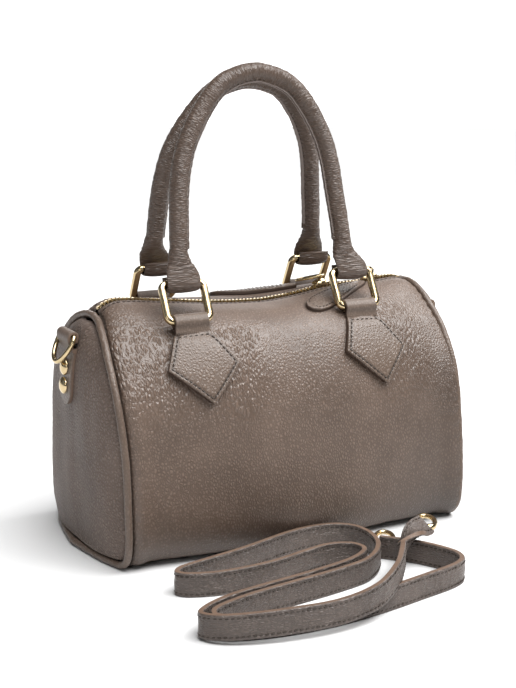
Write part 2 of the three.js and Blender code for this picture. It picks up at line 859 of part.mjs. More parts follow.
// D-ring: a straight bar in the tab's loop and a round bow.
function dRing(end, turn) {
  const { centre, down, normal } = tabFrame(end);
  const angle = radians(turn);
  const reach = moved(vector(0, 0, 0), down, Math.cos(angle), normal, Math.sin(angle));
  const side = vector(0, 1, 0);
  const bar = spread(-D_RING.halfWidth + 1.5, D_RING.halfWidth - 1.5, 3).map((y) => moved(centre, side, y));
  const bow = spread(0, 180, 11).map((step) => {
    const y = D_RING.halfWidth * Math.cos(radians(step));
    const out = 2 + (D_RING.reach - 2) * Math.sin(radians(step));
    return moved(centre, side, y, reach, out);
  });
  return closedBar([...bar, ...bow], side.clone().cross(reach), D_RING.wire, 6);
}

function foot(end, side) {
  const centre = vector(end * FOOT.x, side * FOOT.y, BASE_CLEAR - GAP);
  return dome(centre, vector(0, 0, -1), FOOT.radius, BASE_CLEAR - GAP, FOOT.parts);
}

// Strap band: each station has a centre, a direction across its width and a direction across its thickness.
function strap() {
  const end = STRAP_ROUTE[STRAP_ROUTE.length - 1].at;
  const spotAt = (at) => {
    const x = smoothAt(STRAP_ROUTE, "x", at);
    const y = smoothAt(STRAP_ROUTE, "y", at);
    const lift = Math.max(smoothAt(STRAP_ROUTE, "lift", at), 0.05);
    return vector(x, y, lift + STRAP.width / 2);
  };
  const places = STRAP_ROUTE.flatMap((row, k) => {
    const next = STRAP_ROUTE[k + 1];
    return next ? spread(row.at, next.at, STRAP.stepsPerRow + 1).slice(0, -1) : [row.at];
  });
  const rings = places.map((at) => {
    const centre = spotAt(at);
    const along = spotAt(Math.min(at + 0.5, end)).sub(spotAt(Math.max(at - 0.5, 0)));
    const level = vector(along.y, -along.x, 0).normalize();
    const tilt = radians(smoothAt(STRAP_ROUTE, "tilt", at));
    const wide = moved(vector(0, 0, 0), UP, Math.cos(tilt), level, Math.sin(tilt));
    const thick = moved(vector(0, 0, 0), level, Math.cos(tilt), UP, -Math.sin(tilt));
    const corner = (a, b) => moved(centre, wide, (a * STRAP.width) / 2, thick, (b * STRAP.thick) / 2);
    return [corner(-1, -1), corner(-1, 1), corner(1, 1), corner(1, -1)];
  });
  return loft(rings);
}

// Snap hook, mostly hidden: one plain oval loop that is thicker at the strap's end.
function hook({ x, y, z, heading }) {
  const turn = radians(heading);
  const reach = vector(Math.cos(turn), Math.sin(turn), 0);
  const across = vector(-Math.sin(turn), Math.cos(turn), 0);
  const steps = spread(0, 360, 17).slice(0, -1);
  const spotAt = (step) => {
    const out = (HOOK.length / 2) * (1 - Math.cos(radians(step)));
    return moved(vector(x, y, z), reach, out, across, HOOK.halfWidth * Math.sin(radians(step)));
  };
  const rings = steps.map((step) => {
    const along = spotAt(step + 2).sub(spotAt(step - 2)).normalize();
    const sideways = along.clone().cross(UP);
    const radius = mix(HOOK.wire, HOOK.base, ease(Math.cos(radians(step)) * 2 - 1));
    return ellipse(spotAt(step), sideways, UP, radius, radius, 6);
  });
  return loft(rings, true);
}

const bag = new THREE.Group();
bag.name = "handbag";

function add(name, geometry, look) {
  const mesh = new THREE.Mesh(geometry, new THREE.MeshStandardMaterial(look));
  mesh.name = name;
  bag.add(mesh);
}

add("body_panel", bodyPanel(), LEATHER);
add("zip_teeth", zipTeeth(), GOLD);
add("zip_tape_front", zipTape(FRONT), TAPE);
add("zip_tape_back", zipTape(BACK), TAPE);
add("strap", strap(), STRAP_LEATHER);

for (const [name, end] of [["left", LEFT], ["right", RIGHT]]) {
  add(`end_panel_${name}`, endPanel(end), LEATHER);
  add(`piping_${name}`, piping(end), LEATHER_LIGHT);
  add(`side_tab_${name}`, sideTab(end), LEATHER_LIGHT);
  add(`d_ring_${name}`, dRing(end, D_RING_TURN[name]), GOLD);
  RIVET.drops.forEach((drop, k) => add(`rivet_${name}_${k + 1}`, rivet(end, drop), GOLD));
  add(`foot_front_${name}`, foot(end, FRONT), GOLD);
  add(`foot_back_${name}`, foot(end, BACK), GOLD);
}

for (const spec of CHAPES) {
  add(`chape_${spec.name}`, chape(spec), LEATHER_LIGHT);
  add(`ring_${spec.name}`, ring(spec), GOLD);
}

for (const spec of HANDLES) {
  add(`handle_${spec.name}`, handle(spec), LEATHER_LIGHT);
}

for (const spec of SLIDERS) {
  add(`zip_slider_${spec.name}`, zipSlider(spec), GOLD);
  add(`zip_link_${spec.name}`, zipLink(spec), GOLD);
  add(`zip_pull_${spec.name}`, zipPull(spec), LEATHER_LIGHT);
}

for (const spec of HOOKS) {
  add(`strap_hook_${spec.name}`, hook(spec), GOLD);
}

export default bag;
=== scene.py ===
"""Looks of a small barrel handbag with an unclipped shoulder strap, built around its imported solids.

Shapes are worked out in millimetres, in the frame of the solids, and turned into metres when a mesh is made.
"""

import math

import bmesh
import bpy
import numpy as np
from mathutils import Matrix, Vector


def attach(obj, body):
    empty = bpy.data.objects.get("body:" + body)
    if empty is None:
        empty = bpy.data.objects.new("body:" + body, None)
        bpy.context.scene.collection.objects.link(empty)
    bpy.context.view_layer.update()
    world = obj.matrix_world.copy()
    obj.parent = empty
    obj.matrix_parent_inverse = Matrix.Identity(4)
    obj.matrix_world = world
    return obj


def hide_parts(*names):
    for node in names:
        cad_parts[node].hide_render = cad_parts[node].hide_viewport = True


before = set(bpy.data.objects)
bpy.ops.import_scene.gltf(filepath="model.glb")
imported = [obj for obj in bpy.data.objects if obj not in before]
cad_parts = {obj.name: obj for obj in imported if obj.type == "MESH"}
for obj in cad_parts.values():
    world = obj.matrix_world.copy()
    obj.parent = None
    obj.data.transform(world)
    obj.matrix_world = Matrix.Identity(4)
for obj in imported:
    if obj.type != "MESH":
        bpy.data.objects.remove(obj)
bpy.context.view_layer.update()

MM = 0.001
GAP = 0.3
FRONT, BACK = -1, 1
LEFT, RIGHT = -1, 1
UP = np.array([0.0, 0.0, 1.0])
ALONG = np.array([1.0, 0.0, 0.0])
DEPTH = np.array([0.0, 1.0, 0.0])


def table(columns, rows):
    """Columns of a short table, by name; short rows end in zeros."""
    values = np.array([[*row, *[0] * (len(columns) - len(row))] for row in rows], float)
    return {name: values[:, i] for i, name in enumerate(columns)}


# Sizes of the solids
WALL = 2
BASE_CLEAR = 1.5
PIPING_RADIUS = 2.2
BULGE_POWER = 2.4
RIDGE_REACH = 45
SECTION = table(
    ["end_depth", "end_height", "mid_depth", "mid_height", "half_length"],
    [
        [4.5, 146.5, 4.5, 149, 110.5],
        [12.8, 144.5, 15, 148.5, 111.2],
        [22.8, 137.5, 30, 143, 113],
        [39, 121, 48.5, 127, 115],
        [54, 97, 62.5, 100, 115.2],
        [62, 66, 69, 66, 114.2],
        [64.8, 35, 70.5, 35, 114.3],
        [64, 13, 68.6, 13, 114.2],
        [57, 3, 62.5, 2.2, 114.5],
        [38, 0, 42, 0, 120],
        [0, 0, 0, 0, 126],
    ],
)
RIDGE = table(
    ["at", "lift"],
    [
        [-111, -6], [-103, 0.2], [-95, 2], [-60, -2.5], [-30, -6], [0, -7.3],
        [15, -6.3], [30, -4.3], [45, -1.8], [75, 0.3], [100, 3.2], [111, 0],
    ],
)
BULGES = table(
    ["at", "bulge"],
    [[0, 9], [30, 11], [60, 11.5], [90, 10.8], [115, 9], [135, 5.5], [150, 0.5]],
)
PANEL_FIRST_RUN, PANEL_LAST_RUN = 2.0, 185
PANEL_POWER = 3.4
PANEL_OUT = 0.6
ZIP_END = 107
TEETH_HALF = 1.9
TAPE_THICK = 1.1
TAPE_UNDER = 5
TAPE_CLEAR = 1.1
SLIDER = {"length": 11, "width": 8, "height": 3.2, "wire": 1}
SLIDERS = {"left": (47, 158, BACK), "right": (83, 155, FRONT)}
PULL = {"length": 57, "width": 16, "thick": 2.6, "start": 13, "run": 7}
LINK_HALF = 3.4
RING = {"half_width": 13.5, "height": 23.4, "corner": 3.5, "wire": 2, "lean": 29}
LOOP_RUN = {FRONT: 36, BACK: 33}
LOOP_STAND = 5.2
LOOP_CLEAR = 0.45
CHAPES = {
    "front_left": (FRONT, -63.2, 4),
    "front_right": (FRONT, 52.2, 6),
    "back_left": (BACK, -56.2, 2),
    "back_right": (BACK, 53.2, 2),
}
CHAPE = {"thick": 2.4, "loop_thick": 1.8, "half_loop": 10.8, "clear": 0.8}
PATCH = table(["at", "half"], [[7.5, 11.4], [11, 13], [29, 22.2], [40, 11.5], [50.5, 0.9]])
PATCH_MIDDLE = np.array([28.0, 0.0])
HANDLES = {"front": (FRONT, 8.6, 0), "back": (BACK, 9, 6)}
HANDLE_CURVE = table(
    ["half_span", "rise", "drift"],
    [
        [56, 14, -2.6],
        [54.8, 32, -2.6],
        [53, 51, -3],
        [51, 66, -2.6],
        [47.5, 80, -2],
        [42, 92.5, -1.2],
        [35.7, 103, -0.6],
        [26.8, 114.2, -0.2],
        [16.6, 120.8],
        [0, 124.6],
    ],
)
HANDLE = {"width": 11.4, "end": 21.4, "end_thick": 3.2, "start": 7}
FLARE = table(
    ["rise", "width", "thick", "out"],
    [[5, 21, 4, 3.4], [9.5, 18.4, 6.4, 1.9], [14, 14, 9.4, 0.6], [19, 11.6, 11, 0]],
)
TAB = {"drop": 40.5, "half_top": 10.4, "half_end": 9.2, "thick": 2.2, "loop_thick": 1.7}
TAB_BAR = 130
TAB_STAND = 4.7
TAB_FOLD = 9
TAB_TIP = table(["at", "rounding"], [[0, 0.05], [0.5, 0.3], [2, 0.62], [4.4, 0.88], [8, 1], [32, 1]])
RIVET = {"radius": 5.2, "rise": 2.6, "drops": [17.8, 29]}
D_RING = {"half_width": 12.4, "reach": 17.2, "wire": 1.5}
D_RING_TURN = {"left": 7, "right": 202}
FOOT = {"radius": 5, "x": 97, "y": 46}
STRAP = {"width": 14, "thick": 3.2}
STRAP_ROUTE = table(
    ["x", "y", "lift", "tilt"],
    [
        [30.6, -104.8], [41, -116], [47, -124], [54, -138], [56.5, -149], [53, -158], [43, -164],
        [20, -170], [-12, -177.5], [-45, -182], [-75, -181], [-98, -175.5], [-107, -169], [-104, -162],
        [-88, -155], [-68, -150], [-43, -145.5], [-17, -140.5], [5, -133.5], [22, -117], [29, -97],
        [26, -80], [13, -71.5], [-10, -72.5], [-50, -86], [-83, -95], [-97, -99.5], [-101, -105],
        [-96, -110.5], [-78, -115.5], [-48, -114], [-20, -106.5], [-3, -103], [10, -108], [12, -118],
        [1, -127.5], [-18, -134], [-44, -139.5], [-69, -144], [-90, -149], [-107, -157],
        [-114, -166, 1], [-109, -175, 2], [-97, -182, 3], [-75, -188, 4], [-45, -190, 4.5],
        [-19, -185, 7], [-1, -174.5, 12], [9, -163.5, 15.5], [16.5, -152, 14], [21.5, -142, 9],
        [28, -133, 6], [36, -127, 8, 30], [43, -121.5, 11.5, 75], [49.5, -117, 12.5, 112],
        [57, -113.5, 12.5, 124],
    ],
)
HOOK = {"length": 22, "half_width": 5.5, "wire": 1.6, "base": 2.4}
HOOKS = {"left": (35, -103.4, 7.5, 60), "right": (59.3, -112.4, 17, 62)}

# Sizes that only the looks have: what stands out from the solids, and how far stitches lie from edges
TEETH_RISE = 2
RING_EXTRA = 0.3
PATCH_PUFF = 0.9
ZIP_STITCH = 3.2
PATCH_STITCH = 2.1
PULL_STITCH = 2
STRAP_STITCH = 1.9
TAB_GROOVE = 1.8
HANDLE_LIP = 0.95
STITCH = table(
    ["part", "size", "rise"],
    [[-1, 0.4, -0.9], [-0.7, 0.95, 0], [0, 1, 0.25], [0.7, 0.95, 0], [1, 0.4, -0.9]],
)
STITCH_SIDES = 5
STITCH_SLANT = 0.12
TOOTH = table(
    ["across", "half", "low", "high"],
    [
        [-0.9, 0.35, -1.6, -0.55],
        [-0.6, 0.62, -1.9, -0.1],
        [0.6, 0.66, -2.1, 0.1],
        [1.7, 0.6, -2.1, 0.0],
        [1.9, 0.4, -1.9, -0.4],
    ],
)
TOOTH_PITCH = 2.5
TOOTH_BEVEL = 0.2
SLIDER_SHAPE = table(
    ["along", "width", "height"],
    [
        [-0.5, 0.5, 0.5],
        [-0.46, 0.7, 0.7],
        [-0.36, 0.9, 0.95],
        [-0.2, 1, 1.25],
        [-0.08, 1, 1.62],
        [0.08, 1, 1.62],
        [0.2, 1, 1.25],
        [0.36, 0.9, 0.95],
        [0.46, 0.66, 0.7],
        [0.5, 0.45, 0.5],
    ],
)
PULL_OUTLINE = table(
    ["at", "half"],
    [
        [0, 0.3], [0.08, 0.42], [0.3, 0.7], [0.55, 0.92], [0.72, 1],
        [0.84, 0.95], [0.93, 0.72], [0.98, 0.42], [1, 0.16],
    ],
)
FOOT_ANGLES = [8, 16, 24, 32, 40, 47, 53.1]
FOOT_CUT = 0.8

# Camera fitted to the photo, in millimetres and pixels
IMAGE_HEIGHT = 688
FOCAL_PIXELS = 1400
CAMERA_PLACE = (-390, -785, 296)
CAMERA_FORWARD = (0.4369, 0.8763, -0.2028)
CAMERA_UP = (0.0905, 0.1815, 0.9791)
SENSOR = 36


# Small helpers

def arrays(*values):
    """Values as arrays of numbers of one shape."""
    return np.broadcast_arrays(*[np.asarray(value, float) for value in values])


def vec(x, y, z):
    return np.stack(arrays(x, y, z), -1)


def unit(v):
    return v / np.linalg.norm(v, axis=-1, keepdims=True)


def mix(start, end, part):
    return start + (end - start) * part


def ease(part):
    t = np.clip(part, 0, 1)
    return t * t * (3 - 2 * t)


def bell(distance, width):
    return np.exp(-((distance / width) ** 2))


def turns(count):
    """Even angles round a full circle."""
    return np.linspace(0, 2 * np.pi, count + 1)[:-1]


def squared(wave, power):
    """Sine or cosine of a circle that gets squarer as the power gets smaller."""
    return np.abs(wave) ** power * np.sign(wave)


def directed(first, first_by, second, second_by):
    """Sum of two directions with lengths, for arrays of lengths."""
    return first * np.asarray(first_by, float)[..., None] + second * np.asarray(second_by, float)[..., None]


def circle(first, second, radius, turn):
    """Steps from a centre to points round it, in the plane of two directions."""
    return directed(first, radius * np.cos(turn), second, radius * np.sin(turn))


def lengths(points):
    """Distance along a path at each of its points."""
    steps = np.linalg.norm(np.diff(points, axis=0), axis=1)
    return np.concatenate([[0], np.cumsum(steps)])


def measure(rows, first, second):
    """Adds the distance along two columns under the name "at", and gives the whole distance."""
    rows["at"] = lengths(np.stack([rows[first], rows[second]], -1))
    return rows["at"][-1]


def smooth_at(rows, column, at):
    """Smooth value of a column at places along the rows."""
    place, value = rows["at"], rows[column]
    slope = np.empty_like(value)
    slope[1:-1] = (value[2:] - value[:-2]) / (place[2:] - place[:-2])
    slope[0] = (value[1] - value[0]) / (place[1] - place[0])
    slope[-1] = (value[-1] - value[-2]) / (place[-1] - place[-2])
    k = np.clip(np.searchsorted(place, at, side="right") - 1, 0, len(place) - 2)
    step = place[k + 1] - place[k]
    t = np.clip((at - place[k]) / step, 0, 1)
    ends = (2 * t**3 - 3 * t**2 + 1) * value[k] + (3 * t**2 - 2 * t**3) * value[k + 1]
    return ends + (t**3 - 2 * t**2 + t) * slope[k] * step + (t**3 - t**2) * slope[k + 1] * step


def noise(u, v, seed):
    """Smooth noise from -1 to 1 with one cell per unit of u and v."""
    size = 97
    lattice = np.random.default_rng(seed).uniform(-1, 1, (size, size))
    u, v = arrays(u, v)
    i, j = np.floor(u).astype(int), np.floor(v).astype(int)
    s, t = ease(u - i), ease(v - j)
    low = mix(lattice[i % size, j % size], lattice[(i + 1) % size, j % size], s)
    high = mix(lattice[i % size, (j + 1) % size], lattice[(i + 1) % size, (j + 1) % size], s)
    return mix(low, high, t)


def edge_roll(distance, reach, drop=None):
    """How far a surface drops towards a rounded edge at a distance from it."""
    short = np.clip(1 - distance / reach, 0, 1)
    return (reach if drop is None else drop) * (1 - np.sqrt(1 - short**2))


def refine(rings, steps):
    """More rings on smooth lines through the given ones."""
    rings = np.asarray(rings, float)
    padded = np.concatenate([2 * rings[:1] - rings[1:2], rings, 2 * rings[-1:] - rings[-2:-1]])
    fine = []
    for k in range(len(rings) - 1):
        a, b, c, d = padded[k : k + 4]
        for t in np.arange(steps) / steps:
            bend = 2 * a - 5 * b + 4 * c - d
            twist = 3 * b - a - 3 * c + d
            fine.append(b + 0.5 * t * (c - a + t * (bend + t * twist)))
    return np.array([*fine, rings[-1]])


SECTION_RUN = measure(SECTION, "mid_depth", "mid_height")
STRAP_END = measure(STRAP_ROUTE, "x", "y")


# Meshes

def grid_faces(rows, cols, wrap_rows=False, wrap_cols=False, first=0):
    i = np.arange(rows if wrap_rows else rows - 1)[:, None]
    j = np.arange(cols if wrap_cols else cols - 1)[None, :]
    next_i, next_j = (i + 1) % rows, (j + 1) % cols
    corners = [i * cols + j, i * cols + next_j, next_i * cols + next_j, next_i * cols + j]
    return (np.stack(np.broadcast_arrays(*corners), -1).reshape(-1, 4) + first).tolist()


def tube(rings, closed=False):
    """Points and faces through rings of points, with flat ends unless it is closed."""
    rings = np.asarray(rings)
    count, sides = rings.shape[:2]
    faces = grid_faces(count, sides, wrap_rows=closed, wrap_cols=True)
    if not closed:
        faces.append(list(range(sides)))
        faces.append(list(range((count - 1) * sides, count * sides)))
    return rings.reshape(-1, 3), faces


def shell(outer, inner):
    """Points and faces of a thick sheet between two grids of points."""
    rows, cols = outer.shape[:2]
    half = rows * cols
    index = np.arange(half).reshape(rows, cols)
    faces = grid_faces(rows, cols) + grid_faces(rows, cols, first=half)
    border = np.concatenate([index[0], index[1:, -1], index[-1, -2::-1], index[-2:0:-1, 0]])
    for a, b in zip(border, np.roll(border, -1)):
        faces.append([int(a), int(b), int(b + half), int(a + half)])
    return np.concatenate([outer.reshape(-1, 3), inner.reshape(-1, 3)]), faces


def shell_values(outside, inside):
    """A value for each point of a shell: an array on its outside and one number on its inside."""
    return np.concatenate([outside.ravel(), np.full(outside.size, inside)])


def shell_flow(u, v, w):
    """Surface coordinates for both sides of a shell."""
    return np.tile(vec(u, v, w).reshape(-1, 3), (2, 1))


def joined(parts):
    """One list of points and faces from several."""
    points, faces, first = [], [], 0
    for part_points, part_faces in parts:
        points.append(part_points)
        faces += [[first + int(i) for i in face] for face in part_faces]
        first += len(part_points)
    return np.concatenate(points), faces


def add_object(name, data):
    made = bpy.data.objects.new(name, data)
    bpy.context.scene.collection.objects.link(made)
    return made


def add_piece(name, shape, materials, body, slot, replaces=(), marks=None, flow=None, sharp=40, **paint):
    """Makes a mesh object that rides on a body.

    Marks give each face its material. Flow gives each point its surface coordinates,
    and paint its grain and shade.
    """
    points, faces = shape
    mesh = bpy.data.meshes.new(name)
    mesh.from_pydata((np.asarray(points) * MM).tolist(), [], faces)
    for material in materials:
        mesh.materials.append(material)
    if marks is not None:
        mesh.polygons.foreach_set("material_index", np.asarray(marks, np.int32))
    for label, values in paint.items():
        attribute = mesh.attributes.new(label, "FLOAT", "POINT")
        attribute.data.foreach_set("value", np.asarray(values, np.float32).ravel())
    if flow is not None:
        attribute = mesh.attributes.new("flow", "FLOAT_VECTOR", "POINT")
        attribute.data.foreach_set("vector", (np.asarray(flow, np.float32) * MM).ravel())
    work = bmesh.new()
    work.from_mesh(mesh)
    bmesh.ops.recalc_face_normals(work, faces=work.faces)
    work.to_mesh(mesh)
    work.free()
    mesh.polygons.foreach_set("use_smooth", [True] * len(mesh.polygons))
    mesh.set_sharp_from_angle(angle=math.radians(sharp))
    piece = add_object(name, mesh)
    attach(piece, body)
    if replaces:
        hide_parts(*replaces)
    return piece


# Camera, light and floor

def make_camera():
    data = bpy.data.cameras.new("camera")
    data.sensor_width = SENSOR
    data.lens = FOCAL_PIXELS * SENSOR / IMAGE_HEIGHT
    camera = add_object("camera", data)
    forward = Vector(CAMERA_FORWARD).normalized()
    right = forward.cross(Vector(CAMERA_UP)).normalized()
    turn = Matrix((right, right.cross(forward), -forward)).transposed().to_4x4()
    camera.matrix_world = Matrix.Translation(Vector(CAMERA_PLACE) * MM) @ turn
    bpy.context.scene.camera = camera


def aim(light, direction):
    light.rotation_mode = "QUATERNION"
    light.rotation_quaternion = direction.to_track_quat("-Z", "Y")


def make_sun(name, place, power, spread):
    """Very wide soft light from a direction, even over the whole floor."""
    data = bpy.data.lights.new(name, "SUN")
    data.energy = power
    data.angle = math.radians(spread)
    aim(add_object(name, data), -Vector(place))


def make_light(name, place, target, size, power, tint=(1, 1, 1)):
    data = bpy.data.lights.new(name, "AREA")
    data.shape = "RECTANGLE"
    data.size, data.size_y = size
    data.energy = power
    data.color = tint
    light = add_object(name, data)
    light.location = place
    aim(light, Vector(target) - Vector(place))


def make_stage(name, rims, shade, glow):
    """Plain round sheet between two rims of a radius and a height; glow is its own light."""
    material = Nodes(name).looks(
        Base_Color=(shade, shade, shade, 1),
        Roughness=0.9,
        Specular_IOR_Level=0.1,
        Emission_Color=(1, 1, 1, 1),
        Emission_Strength=glow,
    )
    turn = turns(64)
    points = [(radius * math.cos(a), radius * math.sin(a), height) for radius, height in rims for a in turn]
    mesh = bpy.data.meshes.new(name)
    mesh.from_pydata(points, [], grid_faces(len(rims), len(turn), wrap_cols=True))
    mesh.materials.append(material)
    sheet = add_object(name, mesh)
    return sheet


def make_backdrop(radius, height):
    """White wall all round that neither lights nor shades the bag."""
    wall = make_stage("backdrop", [(radius, 0), (radius, height)], 0.7, 1.0)
    wall.visible_diffuse = False
    wall.visible_glossy = False
    wall.visible_shadow = False


def make_world(strength):
    world = bpy.data.worlds.new("studio")
    world.use_nodes = True
    background = world.node_tree.nodes["Background"]
    background.inputs["Color"].default_value = (1, 1, 1, 1)
    background.inputs["Strength"].default_value = strength
    bpy.context.scene.world = world


# Materials

class Nodes:
    """Short names for building one material's nodes."""

    def __init__(self, name):
        self.material = bpy.data.materials.new(name)
        self.material.use_nodes = True
        self.tree = self.material.node_tree
        self.shader = self.tree.nodes["Principled BSDF"]

    def put(self, socket, value):
        if isinstance(value, bpy.types.NodeSocket):
            self.tree.links.new(value, socket)
        else:
            socket.default_value = value

    def put_all(self, node, inputs):
        for key, value in inputs.items():
            self.put(node.inputs[key.replace("_", " ")], value)

    def add(self, kind, settings=None, **inputs):
        node = self.tree.nodes.new(kind)
        for key, value in (settings or {}).items():
            setattr(node, key, value)
        self.put_all(node, inputs)
        return node

    def looks(self, **inputs):
        """Sets the shader's inputs and gives the finished material."""
        self.put_all(self.shader, inputs)
        return self.material

    def attribute(self, name, output="Fac"):
        return self.add("ShaderNodeAttribute", {"attribute_name": name}).outputs[output]

    def math(self, operation, *values, clamp=False):
        node = self.add("ShaderNodeMath", {"operation": operation, "use_clamp": clamp})
        for socket, value in zip(node.inputs, values):
            self.put(socket, value)
        return node.outputs[0]

    def vector_math(self, operation, *values):
        node = self.add("ShaderNodeVectorMath", {"operation": operation})
        for socket, value in zip(node.inputs, values):
            self.put(socket, value)
        return node.outputs[0]

    def sum(self, *weighted):
        """Sum of values, each with its weight."""
        total = 0.0
        for value, weight in weighted:
            total = self.math("MULTIPLY_ADD", value, weight, total)
        return total

    def between(self, value, low, high, to_low=0.0, to_high=1.0):
        """Value eased from one range to another."""
        node = self.add(
            "ShaderNodeMapRange",
            {"interpolation_type": "SMOOTHSTEP"},
            Value=value,
            From_Min=low,
            From_Max=high,
            To_Min=to_low,
            To_Max=to_high,
        )
        return node.outputs[0]

    def blend(self, part, first, second):
        """Colour between two others; the mix node has sockets of one name, so they go by number."""
        node = self.add("ShaderNodeMix", {"data_type": "RGBA"})
        for socket, value in ((0, part), (6, first), (7, second)):
            self.put(node.inputs[socket], value)
        return node.outputs[2]

    def place(self, scale, flow=False):
        """Object or flow coordinates scaled by cells per metre along each axis."""
        spot = self.attribute("flow", "Vector") if flow else self.add("ShaderNodeTexCoord").outputs["Object"]
        return self.vector_math("MULTIPLY", spot, scale)

    def even(self, cells, flow=False):
        """Coordinates with the same number of cells per metre along each axis."""
        return self.place((cells, cells, cells), flow)

    def noise(self, vector, scale, detail=2.0, roughness=0.5):
        node = self.add("ShaderNodeTexNoise", Vector=vector, Scale=scale, Detail=detail, Roughness=roughness)
        return node.outputs["Fac"]

    def bump(self, height, distance, strength):
        node = self.add("ShaderNodeBump", Height=height, Distance=distance, Strength=strength)
        return node.outputs["Normal"]


def colour(red, green, blue):
    """Linear colour from the 0 to 255 numbers of a picture."""
    parts = [c / 255 for c in (red, green, blue)]
    return (*[c / 12.92 if c <= 0.04045 else ((c + 0.055) / 1.055) ** 2.4 for c in parts], 1.0)


def pebbles(n, cell, warp, flow):
    """Rounded pebbles of a size in millimetres, from 0 in the creases to 1 on their crowns."""
    spot = n.place(tuple(1000 / c for c in cell), flow)
    pulled = n.vector_math("MULTIPLY_ADD", warp, (0.55, 0.55, 0.55), spot)
    cells = n.add("ShaderNodeTexVoronoi", {"feature": "DISTANCE_TO_EDGE"}, Vector=pulled, Scale=1.0)
    return n.between(cells.outputs["Distance"], 0.0, 0.45)


def leather(name, dark, light, fine, coarse, depth, roughness=0.32, flow=False, shine=0.5):
    """Pebbled leather: fine and coarse pebbles blended by how strong the grain is at each point."""
    n = Nodes(name)
    even = n.even(1000, flow)
    warp = n.add("ShaderNodeTexNoise", Vector=even, Scale=0.15, Detail=2.0).outputs["Color"]
    grain = n.attribute("grain")
    pores = n.noise(even, 2.6, 3.0, 0.6)
    patches = n.noise(even, 0.03, 3.0, 0.6)
    crowns = n.math("MULTIPLY", pebbles(n, coarse, warp, flow), n.between(grain, 0.6, 0.95))
    grit = n.math("MULTIPLY", pebbles(n, fine, warp, flow), n.between(grain, 0.6, 0.95, 1.0, 0.25))
    rise = n.sum((crowns, 1.0), (grit, 0.7), (pores, 0.1))
    strength = n.math("MULTIPLY", grain, 1.0, clamp=True)
    # The pebbles' creases are darker and their crowns lighter: painted shade in the creases. The patches are
    # random tone.
    tone = n.sum((grit, 0.42), (crowns, 0.32), (patches, 0.5))
    # Deep is the colour of full painted shade; the shade attribute of each point blends the leather towards
    # it.
    deep = tuple(0.25 * c for c in dark[:3]) + (1.0,)
    satin = n.between(grain, 0.1, 0.9, roughness + 0.22, roughness - 0.04)
    return n.looks(
        Base_Color=n.blend(n.attribute("shade"), n.blend(tone, dark, light), deep),
        Roughness=n.sum((satin, 1.0), (pores, 0.12)),
        Normal=n.bump(rise, depth * MM, strength),
        Specular_IOR_Level=shine,
        Sheen_Weight=0.04,
        Sheen_Roughness=0.4,
    )


def painted_edge(name, dark, light):
    """Sealed raw edge of leather, streaked along its layers."""
    n = Nodes(name)
    streaks = n.noise(n.even(120), 1.0, 4.0, 0.65)
    fine = n.noise(n.even(900), 1.0)
    return n.looks(
        Base_Color=n.blend(n.sum((streaks, 0.7), (fine, 0.35)), dark, light),
        Roughness=n.between(fine, 0.2, 0.8, 0.45, 0.7),
        Normal=n.bump(fine, 0.12 * MM, 0.5),
    )


def thread(name, dark, light):
    n = Nodes(name)
    fibres = n.noise(n.even(2600), 1.0)
    return n.looks(
        Base_Color=n.blend(fibres, dark, light),
        Roughness=n.between(fibres, 0.2, 0.8, 0.5, 0.8),
        Normal=n.bump(fibres, 0.1 * MM, 0.6),
    )


def gold(name, dark, light, roughness=0.16):
    """Polished gold plating with faint scuffs."""
    n = Nodes(name)
    scuffs = n.noise(n.even(160), 1.0, 5.0, 0.7)
    tint = n.noise(n.even(40), 1.0)
    return n.looks(
        Base_Color=n.blend(tint, dark, light),
        Roughness=n.between(scuffs, 0.3, 0.75, roughness - 0.05, roughness + 0.12),
        Normal=n.bump(scuffs, 0.02 * MM, 0.25),
        Metallic=1.0,
    )


def woven(name, dark, light):
    """Woven zip tape: fine ribs along and across the tape."""
    n = Nodes(name)
    even = n.even(1000)
    ribs = [
        n.add("ShaderNodeTexWave", {"bands_direction": axis}, Vector=even, Scale=scale).outputs["Fac"]
        for axis, scale in (("X", 0.42), ("Y", 0.55))
    ]
    fuzz = n.noise(n.even(1500), 1.0, 3.0, 0.6)
    tone = n.sum((n.math("MULTIPLY", *ribs), 0.6), (fuzz, 0.4))
    return n.looks(
        Base_Color=n.blend(tone, dark, light),
        Roughness=n.between(fuzz, 0.2, 0.8, 0.75, 0.95),
        Normal=n.bump(tone, 0.25 * MM, 0.7),
        Sheen_Weight=0.2,
    )


# Body of the bag

def ridge_lift(x):
    return smooth_at(RIDGE, "lift", np.clip(x, RIDGE["at"][0], RIDGE["at"][-1]))


def half_length(run):
    return smooth_at(SECTION, "half_length", run)


def body_point(side, run, x):
    """Points on the outside of the body: run is the distance down from the zip edge."""
    side, run, x = arrays(side, run, x)
    swell = 1 - np.minimum(np.abs(x / half_length(run)), 1) ** BULGE_POWER
    depth = mix(smooth_at(SECTION, "end_depth", run), smooth_at(SECTION, "mid_depth", run), swell)
    height = mix(smooth_at(SECTION, "end_height", run), smooth_at(SECTION, "mid_height", run), swell)
    lift = (1 - ease(run / RIDGE_REACH)) * ridge_lift(x)
    return np.stack([x, side * depth, np.maximum(height, 0) + BASE_CLEAR + lift], -1)


def body_frame(side, run, x):
    """Downward direction and outward normal of the body."""
    side, run, x = arrays(side, run, x)
    above = body_point(side, np.maximum(run - 0.5, 0), x)
    below = body_point(side, np.minimum(run + 0.5, SECTION_RUN), x)
    down = unit(below - above)
    level = body_point(side, run, x + 0.5) - body_point(side, run, x - 0.5)
    return down, unit(np.cross(level, down) * side[..., None])


def body_offset(side, run, x, out):
    normal = body_frame(side, run, x)[1]
    return body_point(side, run, x) + normal * np.asarray(out, float)[..., None]


def seam_distance(run, x):
    """Distance of points of the body from the piping at the nearer end."""
    return half_length(run) - PIPING_RADIUS - GAP - np.abs(x)


def right_share(x):
    """0 on the left half of the bag, rising to 1 towards its right end."""
    return ease(x / 60)


